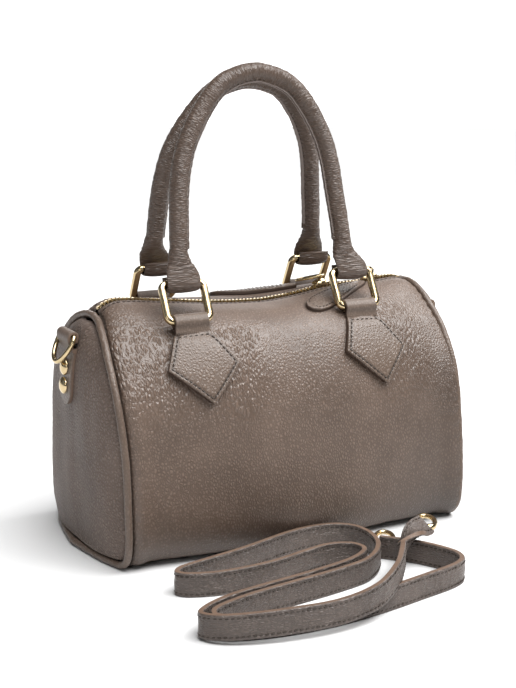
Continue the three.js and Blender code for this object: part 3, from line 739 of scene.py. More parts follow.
def body_relief(side, run, x):
    """Small shapes of the body's leather: turned edges, stitch lines, puckers and soft dents."""
    seam = seam_distance(run, x)
    end = np.sign(x)
    right = right_share(x)
    left = 1 - right
    above_base = ease((SECTION_RUN - run) / 60)
    tucked = edge_roll(seam, 4.5, 2.4) * left
    brought_over = edge_roll(seam + 3.1, 2) * right
    left_ridge = 1.7 * bell(seam - 6, 5.5) * ease((run - 18) / 40)
    right_ridge = 2.3 * ease(1 - seam / 14) * ease((run - 24) / 80)
    zip_edge = 0.3 * bell(run - 1.5, 1.0) - 0.3 * bell(run - ZIP_STITCH, 0.6) - edge_roll(run, 1.3)
    lift = zip_edge - tucked - brought_over + above_base * (left * left_ridge + right * right_ridge)
    dents = 0.55 * noise(x / 34, run / 40 + 5 * side, 1)
    dents += 0.22 * noise(x / 13, run / 24 + 5 * side, 2)
    dents += 0.09 * noise(x / 3.2, run / 13 + 9 * side, 3)
    lift += ease(run / 12) * ease(seam / 14) * dents
    waver = 0.9 * noise(run / 21, end * 3 + side, 4)
    strength = 0.55 + 0.45 * noise(run / 27, end * 5 + side, 5)
    pucker = np.exp(-np.maximum(seam, 0) / 7) * np.sin(run * (2 * np.pi / 7.4) + 5 * waver)
    return lift + ease(run / 8) * 0.5 * strength * pucker


def body_grain(side, run, x):
    """Strength of the grain: smooth beside the zip, coarse on the upper ends and fine further down."""
    ends = bell(x + 90, 40) + 0.9 * bell(x - 76, 24) + bell(x + 37, 18) * ease((run - 30) / 20)
    band = ease((run - 8) / 34) * (1 - ease((run - 48) / 82)) * np.where(side == FRONT, 1, 0.4)
    patchy = 0.1 * noise(x / 20, run / 20 + 7 * side, 8)
    smooth = bell(x + 8, 64) * (1 - ease((run - 26) / 22))
    return np.clip(0.55 - 0.38 * smooth + 0.52 * np.minimum(ends, 1) * band + patchy, 0.12, 1.1)


def body_shade(run, x):
    """Painted shade: darker in the left seam's groove, along the zip's stitch groove, towards the base and
    round the right end, where less light falls.
    """
    seam = 0.6 * bell(np.maximum(seam_distance(run, x), 0), 1.2) * (1 - right_share(x))
    stitches = 0.3 * bell(run - ZIP_STITCH, 0.8)
    base = 0.4 * ease((run - 140) / 45)
    return seam + stitches + base + 0.36 * ease((x - 45) / 65) * ease((run - 35) / 45)


def make_body(materials):
    """One sheet from the front edge of the zip, under the base and up to the back edge."""
    low = SECTION_RUN - 20
    down = np.concatenate([np.arange(0, 6, 0.5), np.arange(6, low, 1.9), np.linspace(low, SECTION_RUN, 8)])
    run = np.concatenate([down, down[-2::-1]])[:, None]
    side = np.concatenate([np.full(len(down), FRONT), np.full(len(down) - 1, BACK)])[:, None]
    edges = np.array([0.0, 0.4, 0.9, 1.6, 2.5]) / 111
    parts = np.unique(np.concatenate([np.linspace(-1, 1, 151), 1 - edges, edges - 1]))[None, :]
    x = parts * (half_length(run) + np.where(parts > 0, 0.6, -0.9))
    outer = body_offset(side, run, x, body_relief(side, run, x))
    inner = body_offset(side, run, x, np.full(x.shape, -WALL))
    outer[..., 2] = np.maximum(outer[..., 2], BASE_CLEAR - 0.2)
    add_piece(
        "body_leather",
        shell(outer, inner),
        materials,
        "bag",
        "body_leather",
        ["body_panel"],
        grain=shell_values(body_grain(side, run, x), 0.5),
        # Painted shade: body_shade on the outside, and the inside of the bag evenly darker.
        shade=shell_values(body_shade(run, x), 0.6),
        flow=shell_flow(x, run, 40 * side),
    )


def piping_point(end, side, run):
    """Centre of the piping and the direction outwards across the seam."""
    x = end * half_length(run)
    normal = body_frame(side, run, x * 0.98)[1]
    normal = unit(normal * np.array([0, 1, 1]))
    centre = body_point(side, run, x) + normal * 0.4
    centre[..., 2] = np.maximum(centre[..., 2], PIPING_RADIUS + 0.4)
    return centre, normal


def make_piping(name, end, materials):
    run = np.concatenate([np.arange(0, SECTION_RUN, 1.6), [SECTION_RUN]])
    front_centre, front_normal = piping_point(end, FRONT, run)
    back_centre, back_normal = piping_point(end, BACK, run[-2::-1])
    centre = np.concatenate([front_centre, back_centre])
    normal = np.concatenate([front_normal, back_normal])
    turn = turns(16)
    steps = np.arange(len(centre))
    radius = PIPING_RADIUS + 0.14 * noise(steps[:, None] / 2.1, turn[None, :] * 1.3, 11 + end)
    rings = centre[:, None, :] + circle(normal[:, None, :], ALONG, radius, turn)
    add_piece(
        f"piping_cord_{name}",
        tube(rings, closed=True),
        materials,
        "bag",
        "trim_leather",
        [f"piping_{name}"],
        grain=np.full(rings.shape[:2], 0.55),
    )


def rim_point(run):
    """Edge of an end panel inside the piping."""
    centre, normal = piping_point(LEFT, FRONT, run)
    return centre - normal * (PIPING_RADIUS + 1.4 * GAP)


RIM_RUNS = np.linspace(0, PANEL_LAST_RUN, 400)
RIM_POINTS = rim_point(RIM_RUNS)


def panel_reach(y, height):
    """How far an end panel's outside lies from the middle of the bag."""
    height = np.asarray(height, float)
    run = np.interp(-height, -RIM_POINTS[:, 2], RIM_RUNS)
    rim = np.interp(run, RIM_RUNS, np.abs(RIM_POINTS[:, 1]))
    across = np.minimum(np.abs(y) / rim, 1)
    return half_length(run) + PANEL_OUT + smooth_at(BULGES, "bulge", height) * (1 - across**PANEL_POWER)


def panel_point(end, height):
    """Point on the middle line of an end panel."""
    return vec(end * panel_reach(0.0, height), 0, height)


def make_end_panel(name, end, materials):
    top = PANEL_FIRST_RUN + np.array([0.0, 0.6, 1.4])
    low = PANEL_LAST_RUN - np.array([1.6, 0.8, 0.0])
    run = np.concatenate([top, np.arange(4, PANEL_LAST_RUN - 2, 1.5), low])[:, None]
    rim = rim_point(run[:, 0])
    half = np.abs(rim[:, 1])[:, None]
    even = np.linspace(-1, 1, 81)[None, :]
    y = mix(np.sin(even * np.pi / 2), even, 0.5) * half
    z = np.broadcast_to(rim[:, 2][:, None], y.shape)
    seam = np.minimum(half - np.abs(y), np.minimum(run - PANEL_FIRST_RUN, PANEL_LAST_RUN - run))
    dents = 0.8 * noise(y / 17, z / 75 + 4 * end, 21)
    dents += 0.3 * noise(y / 8, z / 40 + 4 * end, 22)
    dents += 0.08 * noise(y / 3, z / 11 + 4 * end, 23)
    waver = noise(z / 25, np.sign(y) * 3 + end, 24)
    strength = 0.6 + 0.4 * noise(z / 30, np.sign(y) * 7 + end, 25)
    crease = np.exp(-np.maximum(seam, 0) / 8) * np.sin(z * (2 * np.pi / 4.6) + 5 * waver)
    lift = ease(seam / 16) * dents - edge_roll(seam, 3, 1.8) + 0.5 * strength * crease * ease(seam / 2)
    x = panel_reach(y, z)
    outer = np.stack([end * (x + lift), y, z], -1)
    inner = np.stack([end * (x - WALL), y, z], -1)
    grain = np.clip(0.58 + 0.12 * noise(y / 18, z / 18 + end, 26), 0.3, 1.2)
    add_piece(
        f"end_leather_{name}",
        shell(outer, inner),
        materials,
        "bag",
        "body_leather",
        [f"end_panel_{name}"],
        grain=shell_values(grain, 0.5),
        # Painted shade: darker along the seam beside the piping, and evenly darker on the inside.
        shade=shell_values(0.45 * bell(np.maximum(seam, 0), 1.3), 0.6),
        flow=shell_flow(y, z, 90 * end),
    )


# Stitches

def along_path(points, at, places):
    """Points or directions at places along a path, between the given ones."""
    return np.stack([np.interp(places, at, points[:, i]) for i in range(3)], -1)


def stitch_row(path, normal, pitch=3.2, length=2.5, radius=0.42):
    """Points and faces of separate stitches along a path of points on a surface."""
    at = lengths(path)
    count = max(int(at[-1] / pitch), 1)
    places = (np.arange(count) + 0.5) * at[-1] / count
    spot = along_path(path, at, places)
    out = unit(along_path(normal, at, places))
    along = unit(along_path(path, at, places + 0.3) - along_path(path, at, places - 0.3))
    along = unit(along + unit(np.cross(out, along)) * STITCH_SLANT)
    sideways = unit(np.cross(out, along))
    rings = []
    for part, size, rise in zip(*STITCH.values()):
        centre = spot + along * (part * length / 2) + out * (rise * radius)
        ring = circle(out[:, None, :], sideways[:, None, :], radius * size, turns(STITCH_SIDES))
        rings.append(centre[:, None, :] + ring)
    rings = np.stack(rings, 1)
    _, faces = tube(rings[0])
    points_each = rings.shape[1] * rings.shape[2]
    every = [[i + k * points_each for i in face] for k in range(count) for face in faces]
    return rings.reshape(-1, 3), every


def surface_row(place, first, second, raised=0.0):
    """Path and normals on a surface: place(first, second, out) gives points."""
    first, second = arrays(first, second)
    path = place(first, second, np.full(first.shape, raised))
    return path, unit(place(first, second, np.full(first.shape, raised + 1)) - path)


# Zip

def zip_top(x):
    return body_point(FRONT, 0, x)[..., 2] - 1


def make_zip(tape_material, gold_material, stitches):
    x = np.linspace(-ZIP_END, ZIP_END, 215)[:, None]
    inside = np.full_like(x, -WALL - TAPE_CLEAR)
    for name, side in (("front", FRONT), ("back", BACK)):
        under = [body_offset(side, np.full_like(x, run), x, inside) for run in (0.6, 2.8, TAPE_UNDER)]
        level = under[0][..., 2]
        inner = [vec(x, side * (TEETH_HALF + GAP + reach), level) for reach in (0, 0.5, 1.0)]
        top = np.concatenate([*inner, *under], 1)
        top[:, :3, 2] += TEETH_RISE * np.array([1.1, 0.9, 0.6])
        low = top - UP * TAPE_THICK
        rings = np.concatenate([top, low[:, ::-1]], 1)
        add_piece(f"zip_band_{name}", tube(rings), [tape_material], "bag", "zip_tape", [f"zip_tape_{name}"])
        spots = np.linspace(-ZIP_END + 1, ZIP_END - 1, 400)
        row = surface_row(lambda a, b, out: body_offset(side, a, b, out), ZIP_STITCH, spots, -0.1)
        stitches.append(stitch_row(*row))
    add_piece("zip_tooth_rows", zip_teeth(), [gold_material], "bag", "gold", ["zip_teeth"], sharp=35)


def zip_teeth():
    """Interlocked teeth of both tapes."""
    teeth = []
    for k, x in enumerate(np.arange(-ZIP_END + 1, ZIP_END - 1, TOOTH_PITCH / 2)):
        side = FRONT if k % 2 else BACK
        top = float(zip_top(x)) + TEETH_RISE
        rings = []
        for across, half, low, high in zip(*TOOTH.values()):
            flat = half - TOOTH_BEVEL
            shoulder = high - TOOTH_BEVEL
            corners = [(-half, low), (half, low), (half, shoulder)]
            corners += [(flat, high), (-flat, high), (-half, shoulder)]
            rings.append([(x + level, side * across, top + rise) for level, rise in corners])
        teeth.append(tube(np.array(rings)))
    return joined(teeth)


def slider_frame(x):
    along = unit(vec(4, 0, zip_top(x + 2) - zip_top(x - 2)))
    base = vec(x, 0, zip_top(x) + GAP + 1.2)
    return along, DEPTH, np.cross(along, DEPTH), base


def make_slider(name, material):
    along, across, out, base = slider_frame(float(SLIDERS[name][0]))
    turn = turns(24)
    rings = []
    for part, half, height in zip(*SLIDER_SHAPE.values()):
        tall = SLIDER["height"] * height
        level = squared(np.cos(turn), 0.45) * SLIDER["width"] / 2 * half
        rise = (squared(np.sin(turn), 0.55) + 1) / 2 * tall
        narrow = 1 - 0.35 * ease((rise / tall - 0.5) * 2) * (height > 1)
        rings.append(base + along * SLIDER["length"] * part + directed(across, level * narrow, out, rise))
    add_piece(f"zip_runner_{name}", tube(refine(rings, 3)), [material], "bag", "gold", [f"zip_slider_{name}"])


def closed_bar(path, plane_normal, radius, sides=12, squareness=1.0):
    """Rings of a bar along a closed flat path."""
    ahead, behind = np.roll(path, -1, 0), np.roll(path, 1, 0)
    across = unit(np.cross(ahead - behind, plane_normal))
    level = squared(np.cos(turns(sides)), squareness) * radius
    rise = squared(np.sin(turns(sides)), squareness) * radius
    return path[:, None, :] + directed(across[:, None, :], level, plane_normal, rise)


def make_link(name, material):
    x, angle, side = SLIDERS[name]
    along, across, out, base = slider_frame(float(x))
    turn = math.radians(angle)
    heading = along * math.cos(turn) + across * side * math.sin(turn)
    start = base + out * (SLIDER["height"] * 1.7 + SLIDER["wire"] + GAP) - heading * 2
    end = body_offset(side, PULL["run"], x + math.cos(turn) * (PULL["start"] - 1), 4.6)
    length = end - start
    sideways = unit(np.cross(length, UP))
    plane = unit(np.cross(sideways, length))
    path = (start + end) / 2 + circle(length / 2, sideways * LINK_HALF, 1, turns(48))
    rings = closed_bar(path, plane, SLIDER["wire"])
    add_piece(f"zip_loop_{name}", tube(rings, closed=True), [material], "bag", "gold", [f"zip_link_{name}"])


# Flat leather strips: a top and an underside with rounded edges, and painted side walls

def strip(rows_top, rows_low):
    """Solid strip from rows of points on its two faces, with a mark for its side walls and ends."""
    rings = np.concatenate([rows_top, rows_low[:, ::-1]], 1)
    points, faces = tube(rings)
    columns = rows_top.shape[1]
    sides = rings.shape[1]
    marks = [1 if k % sides in (columns - 1, sides - 1) else 0 for k in range(len(faces) - 2)] + [1, 1]
    return (points, faces), marks


def across_parts(count):
    """Parts across a strip from -1 to 1, closer together near the edges."""
    even = np.linspace(-1, 1, count)
    return mix(even, np.sin(even * np.pi / 2), 0.75)[None, :]


def pull_half(part):
    return smooth_at(PULL_OUTLINE, "half", part) * PULL["width"] / 2


def make_pull(name, materials, stitches):
    x0, angle, side = SLIDERS[name]
    turn = math.radians(angle)
    low = GAP + 0.2

    def place(reach, sideways, out):
        x = x0 + math.cos(turn) * (PULL["start"] + reach) + math.sin(turn) * sideways
        run = PULL["run"] + math.sin(turn) * reach - math.cos(turn) * sideways
        return body_offset(side, run, x, out)

    tip = 0.8 + 0.2 * np.sin(np.linspace(0, np.pi / 2, 13)[1:])
    part = np.concatenate([np.linspace(0, 0.8, 33), tip])[:, None]
    half = pull_half(part)
    sideways = half * across_parts(17)
    reach = part * PULL["length"] + 0 * sideways
    edge = np.minimum(half - np.abs(sideways), (1.001 - part) * PULL["length"] * 0.8)
    high = low + PULL["thick"] - edge_roll(edge, 0.9) - 0.25 * bell(edge - PULL_STITCH, 0.6)
    shape, marks = strip(place(reach, sideways, high), place(reach, sideways, np.full(high.shape, low)))
    add_piece(
        f"pull_leather_{name}",
        shape,
        materials,
        "bag",
        "trim_leather",
        [f"zip_pull_{name}"],
        marks=marks,
        grain=np.concatenate([np.full(high.shape, 0.6), np.full(high.shape, 0.3)], 1),
    )
    side_part = np.linspace(0.15, 0.93, 60)
    side_half = np.maximum(pull_half(side_part) - PULL_STITCH, 0.1)
    around = np.concatenate([side_part, side_part[::-1]]) * PULL["length"]
    wide = np.concatenate([side_half, -side_half[::-1]])
    row = surface_row(place, around, wide, low + PULL["thick"] - 0.2)
    stitches.append(stitch_row(*row, pitch=2.6, length=1.9))


# Rings, chapes and handles

def ring_frame(side):
    """Lower bars of a handle's rings: their place, and the directions down, outwards and up the ring."""
    pair = [spec for spec in CHAPES.values() if spec[0] == side]
    spots = [body_offset(side, LOOP_RUN[side], x, LOOP_STAND) for _, x, _ in pair]
    y, z = np.mean([spot[1:] for spot in spots], 0)
    down, normal = body_frame(side, LOOP_RUN[side], pair[1][1])
    flat = np.array([0, 1, 1])
    lean = math.radians(RING["lean"])
    rise = np.array([0, -side * math.sin(lean), math.cos(lean)])
    return np.array([0, y, z]), unit(down * flat), unit(normal * flat), rise


def make_ring(name, material):
    side, x, _ = CHAPES[name]
    bar, _, _, rise = ring_frame(side)
    centre = bar + ALONG * x + rise * RING["height"] / 2
    path = []
    for side_x, side_rise, start in ((1, 1, 0), (-1, 1, 90), (-1, -1, 180), (1, -1, 270)):
        for turn in np.radians(np.linspace(start, start + 90, 9)):
            level = side_x * (RING["half_width"] - RING["corner"]) + RING["corner"] * math.cos(turn)
            up = side_rise * (RING["height"] / 2 - RING["corner"]) + RING["corner"] * math.sin(turn)
            path.append(centre + ALONG * level + rise * up)
    wire = RING["wire"] + RING_EXTRA
    rings = closed_bar(np.array(path), np.cross(ALONG, rise), wire, sides=20, squareness=0.8)
    body = "rings_front" if side == FRONT else "rings_back"
    add_piece(f"frame_ring_{name}", tube(rings, closed=True), [material], body, "gold", [f"ring_{name}"])


def fold_rows(stand, bar_radius, lie_thick, loop_thick, foot, clear):
    """Rows of a strip folded over a bar: distance down from it, distance out, thickness and facing."""
    turn = bar_radius + LOOP_CLEAR + loop_thick / 2
    lie = clear + lie_thick / 2
    rows = [
        [foot, lie, lie_thick, 90],
        [foot - 2.6, mix(lie, stand + turn, 0.34), loop_thick, 52],
        [turn * 0.95, stand + turn * 0.72, loop_thick, 45],
    ]
    for facing in (90, 125, 160, 195, 230, 270):
        angle = math.radians(facing)
        rows.append([turn * math.cos(angle), stand + turn * math.sin(angle), loop_thick, facing])
    rows.append([2.4, stand - turn, loop_thick, 270])
    return refine(np.array(rows, float), 4)


def folded_loop(rows, bar, stand, down, normal, across, parts, crumple=0.0):
    """Top and underside of a strip's loop over a bar; across is half of its width with a direction."""
    angle = np.radians(rows[:, 3])
    facing = directed(down, np.cos(angle), normal, np.sin(angle))[:, None, :]
    middle = bar + directed(down, rows[:, 0], normal, rows[:, 1] - stand)
    row = middle[:, None, :] + across * parts[0][:, None]
    flat = rows[:, 2][:, None] / 2
    edge = np.linalg.norm(across) * (1 - np.abs(parts))
    thick = flat - edge_roll(edge, 0.6) + crumple
    return row + facing * thick[..., None], row - facing * flat[..., None]


def patch_sides(inset=0.0):
    """A point and the directions along and inwards for each slanted side of a patch, moved inwards."""
    corners = np.stack([PATCH["at"], PATCH["half"]], -1)[[1, 2, 4]]
    sides = []
    for start, end in zip(corners[:-1], corners[1:]):
        along = unit(end - start)
        inwards = np.array([along[1], -along[0]])
        inwards = inwards * np.sign(inwards @ (PATCH_MIDDLE - start))
        sides.append((start + inwards * inset, along, inwards))
    return sides


def patch_edge(at, sideways):
    """Distance of points of a patch from the nearer of its slanted sides."""
    found = [
        (at - start[0]) * inwards[0] + (np.abs(sideways) - start[1]) * inwards[1]
        for start, _, inwards in patch_sides()
    ]
    return np.minimum(*found)


def patch_stitch_line():
    """Points along the stitch line inside a patch's slanted sides."""
    (a, u, _), (b, v, _) = patch_sides(PATCH_STITCH)
    corner = a + u * np.linalg.solve(np.stack([u, -v], 1), b - a)[0]
    tip = b + v * (-b[1] / v[1])
    return np.concatenate([np.linspace(a - [1.5, 0.75], corner, 40)[:-1], np.linspace(corner, tip, 40)])


def make_chape(name, materials, stitches):
    """Five-sided patch on the body, with a loop that holds a ring."""
    side, x0, drift = CHAPES[name]
    bar, down, normal, _ = ring_frame(side)
    foot, tip = PATCH["at"][0], PATCH["at"][-1]
    seed = 31 + list(CHAPES).index(name)

    def place(at, sideways, out):
        middle = x0 + drift * (at - foot) / (tip - foot)
        return body_offset(side, LOOP_RUN[side] + at, middle + sideways, out)

    at = np.unique(np.concatenate([np.linspace(tip, foot + 0.4, 52), PATCH["at"][1:4]]))[::-1][:, None]
    parts = across_parts(31)
    sideways = np.interp(at, PATCH["at"], PATCH["half"]) * parts
    edge = patch_edge(at, sideways)
    past_foot = ease((at - foot) / 6)
    high = CHAPE["clear"] + CHAPE["thick"] + PATCH_PUFF * past_foot - edge_roll(np.maximum(edge, 0), 0.7)
    high = high - 0.28 * bell(edge - PATCH_STITCH, 0.6) + 0.12 * noise(at / 9, sideways / 9, seed)
    grown = at + 0 * sideways
    top = place(grown, sideways, high)
    low = place(grown, sideways, mix(CHAPE["clear"], -0.2, past_foot) + 0 * sideways)
    rows = fold_rows(LOOP_STAND, RING["wire"], CHAPE["thick"], CHAPE["loop_thick"], foot, CHAPE["clear"])
    crumple = 0.05 * noise(rows[:, :1] / 2.5, parts * 5, seed + 8)
    across = ALONG * CHAPE["half_loop"]
    loop_top, loop_low = folded_loop(rows, bar + ALONG * x0, LOOP_STAND, down, normal, across, parts, crumple)
    shape, marks = strip(np.concatenate([top, loop_top]), np.concatenate([low, loop_low]))
    grain = np.concatenate([np.full(high.shape, 0.6), np.full(crumple.shape, 0.3)])
    # Painted shade along the groove of the patch's stitch line.
    groove = np.concatenate([0.55 * bell(edge - PATCH_STITCH, 0.8), np.zeros(crumple.shape)])
    add_piece(
        f"patch_{name}",
        shape,
        materials,
        "bag",
        "trim_leather",
        [f"chape_{name}"],
        marks=marks,
        grain=np.concatenate([grain, grain * 0.5], 1),
        shade=np.concatenate([groove, groove], 1),
    )
    top_out = CHAPE["clear"] + CHAPE["thick"] + 0.7
    line = patch_stitch_line()
    for half in (-1, 1):
        row = surface_row(place, line[:, 0], half * line[:, 1], top_out)
        stitches.append(stitch_row(*row, pitch=3.0, length=2.3))
    foot_line = np.linspace(-1, 1, 30) * (PATCH["half"][0] - 1.2)
    row = surface_row(place, foot + 1.9, foot_line, top_out - 0.5)
    stitches.append(stitch_row(*row, pitch=3.0, length=2.3, radius=0.4))


def handle_frame(name):
    """Upper bars of a handle's rings, and the directions up the handle and outwards from it."""
    side, lean, _ = HANDLES[name]
    bar, _, _, rise = ring_frame(side)
    angle = math.radians(lean)
    up = np.array([0, -side * math.sin(angle), math.cos(angle)])
    out = np.array([0, side * math.cos(angle), math.sin(angle)])
    return bar + rise * RING["height"], up, out


def grip_angles():
    """Angles round a handle from the outside of the arch, close together at its inner seam."""
    seam = np.radians(np.arange(152, 208.1, 3.5))
    side = np.radians(np.arange(0, 148, 9.25))
    return np.concatenate([side, seam, (2 * np.pi - side[1:])[::-1]])


def handle_wrinkles(at, angle, seed):
    """Fine creases across the grip."""
    around = np.cos(angle) * 1.3 + np.sin(angle) * 0.9
    creases = noise(at / 1.7 + 0.8 * noise(at / 9, around, seed), around * 1.1, seed + 1)
    broad = noise(at / 7, around, seed + 2)
    return 0.17 * creases + 0.1 * broad


def flared_end(frame_axes, end, bar_x, neck_x, angle):
    """Rings of a handle's flat end from its fold round a ring's bar to its round neck."""
    bar, up, out = frame_axes
    turn = RING["wire"] + LOOP_CLEAR + HANDLE["end_thick"] / 2

    def section(centre, across, width, thick):
        return centre + directed(ALONG * end, width / 2 * np.cos(angle), across, thick / 2 * np.sin(angle))

    bends = [(4.2, -turn, math.pi), (2, -turn, math.pi)]
    bends += [(turn * math.sin(a), turn * math.cos(a), a) for a in np.radians(np.arange(180, 361, 30))]
    rings = []
    for up_by, out_by, a in bends:
        across = out * math.cos(a) + up * math.sin(a)
        centre = bar + ALONG * bar_x + up * up_by + out * out_by
        rings.append(section(centre, across, HANDLE["end"], HANDLE["end_thick"]))
    for up_by, width, thick, out_by in zip(*FLARE.values()):
        centre = bar + ALONG * mix(bar_x, neck_x, ease(up_by / 14)) + up * up_by + out * out_by
        rings.append(section(centre, out, width, thick))
    return rings


def flare_relief(rings, out):
    """Compression wrinkles on the outer face of a handle's flared end."""
    centre = rings.mean(1, keepdims=True)
    at = lengths(centre[:, 0])
    reach = rings - centre
    facing = unit(reach)
    from_neck = (at[-1] - at)[:, None]
    sideways = reach[..., 0] / 10
    bow = from_neck + 2.6 * sideways**2 + 1.6 * sideways
    front = ease((facing @ out + 0.5) * 1.2)
    wave = np.sin(bow * (2 * np.pi / 3) + 4.2 * noise(bow / 4, sideways * 2, 61))
    zone = ease((from_neck - 1.5) / 4) * (1 - ease((from_neck - 13) / 4))
    strength = 0.75 + 0.5 * noise(bow / 2, sideways * 4, 62)
    return rings + facing * (0.42 * wave * zone * strength * front)[..., None]


def handle_flow(rings, angle):
    """Distance along a handle and round it, for every point."""
    at = lengths(rings.mean(1))
    return vec(at[:, None], angle[None, :] * HANDLE["width"] / 2, 0)


def make_handle(name, materials, stitches):
    side, _, drop = HANDLES[name]
    bar, up, out = handle_frame(name)
    left, right = [spec[1] for spec in CHAPES.values() if spec[0] == side]
    middle = (left + right) / 2
    rise = HANDLE_CURVE["rise"] * (1 - drop / HANDLE_CURVE["rise"][-1])
    halves = [middle + end * HANDLE_CURVE["half_span"] + HANDLE_CURVE["drift"] for end in (LEFT, RIGHT)]
    curve = {
        "x": np.concatenate([halves[0], halves[1][-2::-1]]),
        "rise": np.concatenate([rise, rise[-2::-1]]),
    }
    length = measure(curve, "x", "rise")
    angle = grip_angles()

    def spot(at):
        return bar + directed(ALONG, smooth_at(curve, "x", at), up, smooth_at(curve, "rise", at))

    def flare(end, bar_x, neck_x, neck_ring):
        rings = flared_end((bar, up, out), end, bar_x, neck_x, angle)
        return flare_relief(refine([*rings, neck_ring], 7), out)

    at = np.linspace(HANDLE["start"], length - HANDLE["start"], int(length / 0.62))
    along = unit(spot(at + 1) - spot(at - 1))
    outward = np.cross(out, along) * -side
    seam = (angle - np.pi) * HANDLE["width"] / 2
    lips = 0.85 * bell(np.abs(seam) - HANDLE_LIP, 0.55) - 0.75 * bell(seam, 0.45)
    radius = HANDLE["width"] / 2 + lips + handle_wrinkles(at[:, None], angle[None, :], 51 + side)
    arch = spot(at)[:, None, :] + circle(outward[:, None, :], out, radius, angle)
    first = flare(LEFT, left, curve["x"][0], arch[0])
    last = flare(RIGHT, right, curve["x"][-1], arch[-1])
    rings = np.concatenate([first[:-1], arch, last[-2::-1]])
    points, faces = tube(rings)
    row, column = np.divmod(np.arange(len(faces)), len(angle))
    on_arch = (row > len(first) + 6) & (row < len(rings) - len(last) - 6)
    on_lip = np.abs(np.abs(seam) - HANDLE_LIP) < 0.5
    body = f"handle_{name}"
    add_piece(
        f"grip_{name}",
        (points, faces),
        materials,
        body,
        "trim_leather",
        [f"handle_{name}"],
        marks=on_arch & on_lip[column],
        grain=np.full(rings.shape[:2], 0.9),
        flow=handle_flow(rings, angle),
    )
    sewn = slice(8, -8)
    stitches[body] = []
    for lip in (-1, 1):
        path = spot(at[sewn]) - outward[sewn] * (HANDLE["width"] / 2 - 0.55) + out * (lip * 2.35)
        facing = unit(-outward[sewn] + out * (lip * 0.45))
        stitches[body].append(stitch_row(path, facing, pitch=3.0, length=2.2, radius=0.26))


# Side tabs, D-rings, rivets and feet

def tab_frame(end):
    """Bar of a tab's D-ring, and the directions down the end panel and outwards from it."""
    down = unit(panel_point(end, TAB_BAR - 1) - panel_point(end, TAB_BAR + 1))
    normal = np.array([-down[2] * end, 0, down[0] * end])
    return panel_point(end, TAB_BAR) + normal * TAB_STAND, down, normal


def make_tab(name, end, materials):
    centre, down, normal = tab_frame(end)

    def place(drop, y, out):
        height = TAB_BAR - drop
        return vec(end * (panel_reach(y, height) + out), y, height)

    tip = 8 * np.sin(np.linspace(0, np.pi / 2, 15)) ** 2
    from_tip = np.concatenate([tip, np.linspace(9, 35.5, 28)])[:, None]
    drop = TAB["drop"] - from_tip
    half = mix(TAB["half_top"], TAB["half_end"], drop / TAB["drop"])
    half = half * smooth_at(TAB_TIP, "rounding", from_tip)
    parts = across_parts(17)
    y = half * parts
    edge = np.minimum(half - np.abs(y), from_tip + 0.01)
    high = GAP + TAB["thick"] - edge_roll(edge, 0.7) - 0.18 * bell(edge - TAB_GROOVE, 0.5)
    grown = drop + 0 * y
    top = place(grown, y, high)
    low = place(grown, y, np.full(high.shape, GAP))
    rows = fold_rows(TAB_STAND, D_RING["wire"], TAB["thick"], TAB["loop_thick"], TAB_FOLD, GAP)
    loop_top, loop_low = folded_loop(rows, centre, TAB_STAND, down, normal, DEPTH * TAB["half_top"], parts)
    shape, marks = strip(np.concatenate([top, loop_top]), np.concatenate([low, loop_low]))
    grain = np.concatenate([np.full(high.shape, 0.6), np.full(loop_top.shape[:2], 0.3)])
    add_piece(
        f"tab_{name}",
        shape,
        materials,
        "bag",
        "trim_leather",
        [f"side_tab_{name}"],
        marks=marks,
        grain=np.concatenate([grain, grain], 1),
    )


def make_d_ring(name, end, material):
    centre, down, normal = tab_frame(end)
    turn = math.radians(D_RING_TURN[name])
    reach = down * math.cos(turn) + normal * math.sin(turn)
    straight = D_RING["half_width"] - 1.5
    path = [centre + DEPTH * y for y in np.linspace(-straight, straight, 9)]
    for step in np.radians(np.linspace(0, 180, 41)):
        out = 2 + (D_RING["reach"] - 2) * math.sin(step)
        path.append(centre + DEPTH * D_RING["half_width"] * math.cos(step) + reach * out)
    rings = closed_bar(np.array(path), np.cross(DEPTH, reach), D_RING["wire"], sides=16)
    body = f"d_ring_{name}"
    add_piece(f"bow_ring_{name}", tube(rings, closed=True), [material], body, "gold", [f"d_ring_{name}"])


def lathe(centre, axis, profile, sides=40):
    """Turned shape: profile rows are a radius and a height along the axis."""
    first = ALONG if abs(axis[2]) > 0.9 else unit(np.cross(UP, axis))
    second = np.cross(axis, first)
    turn = turns(sides)
    rings = [centre + axis * height + circle(first, second, radius, turn) for radius, height in profile]
    return tube(np.array(rings))


def dome(radius, height, angles):
    """Profile of a dome from its rim upwards."""
    return [(radius * math.cos(a), height * math.sin(a)) for a in np.radians(angles)]


def make_rivets(name, end, material):
    profile = [(RIVET["radius"] - 0.5, -0.25), (RIVET["radius"], -0.1)]
    profile += dome(RIVET["radius"], RIVET["rise"], np.arange(0, 88, 7))
    for k, drop in enumerate(RIVET["drops"], 1):
        height = TAB_BAR - drop
        slope = float(panel_reach(0.0, height + 2) - panel_reach(0.0, height - 2)) / 4
        axis = unit(np.array([end, 0, -slope]))
        shape = lathe(panel_point(end, height) + axis * (TAB["thick"] + 2.6 * GAP), axis, profile)
        add_piece(f"stud_{name}_{k}", shape, [material], "bag", "gold", [f"rivet_{name}_{k}"], sharp=60)


def make_feet(material):
    rise = BASE_CLEAR - GAP
    profile = [(FOOT["radius"] - 0.4, 0.25), (FOOT["radius"], 0)]
    profile += dome(FOOT["radius"], -rise / FOOT_CUT, FOOT_ANGLES)
    for x_name, x in (("left", LEFT), ("right", RIGHT)):
        for y_name, y in (("front", FRONT), ("back", BACK)):
            shape = lathe(vec(x * FOOT["x"], y * FOOT["y"], rise), UP, profile)
            name = f"foot_{y_name}_{x_name}"
            add_piece(f"stud_{name}", shape, [material], "bag", "gold", [name])


# Shoulder strap

def strap_spot(at):
    x, y = smooth_at(STRAP_ROUTE, "x", at), smooth_at(STRAP_ROUTE, "y", at)
    lift = np.maximum(smooth_at(STRAP_ROUTE, "lift", at), 0.05)
    return vec(x, y, lift + STRAP["width"] / 2)


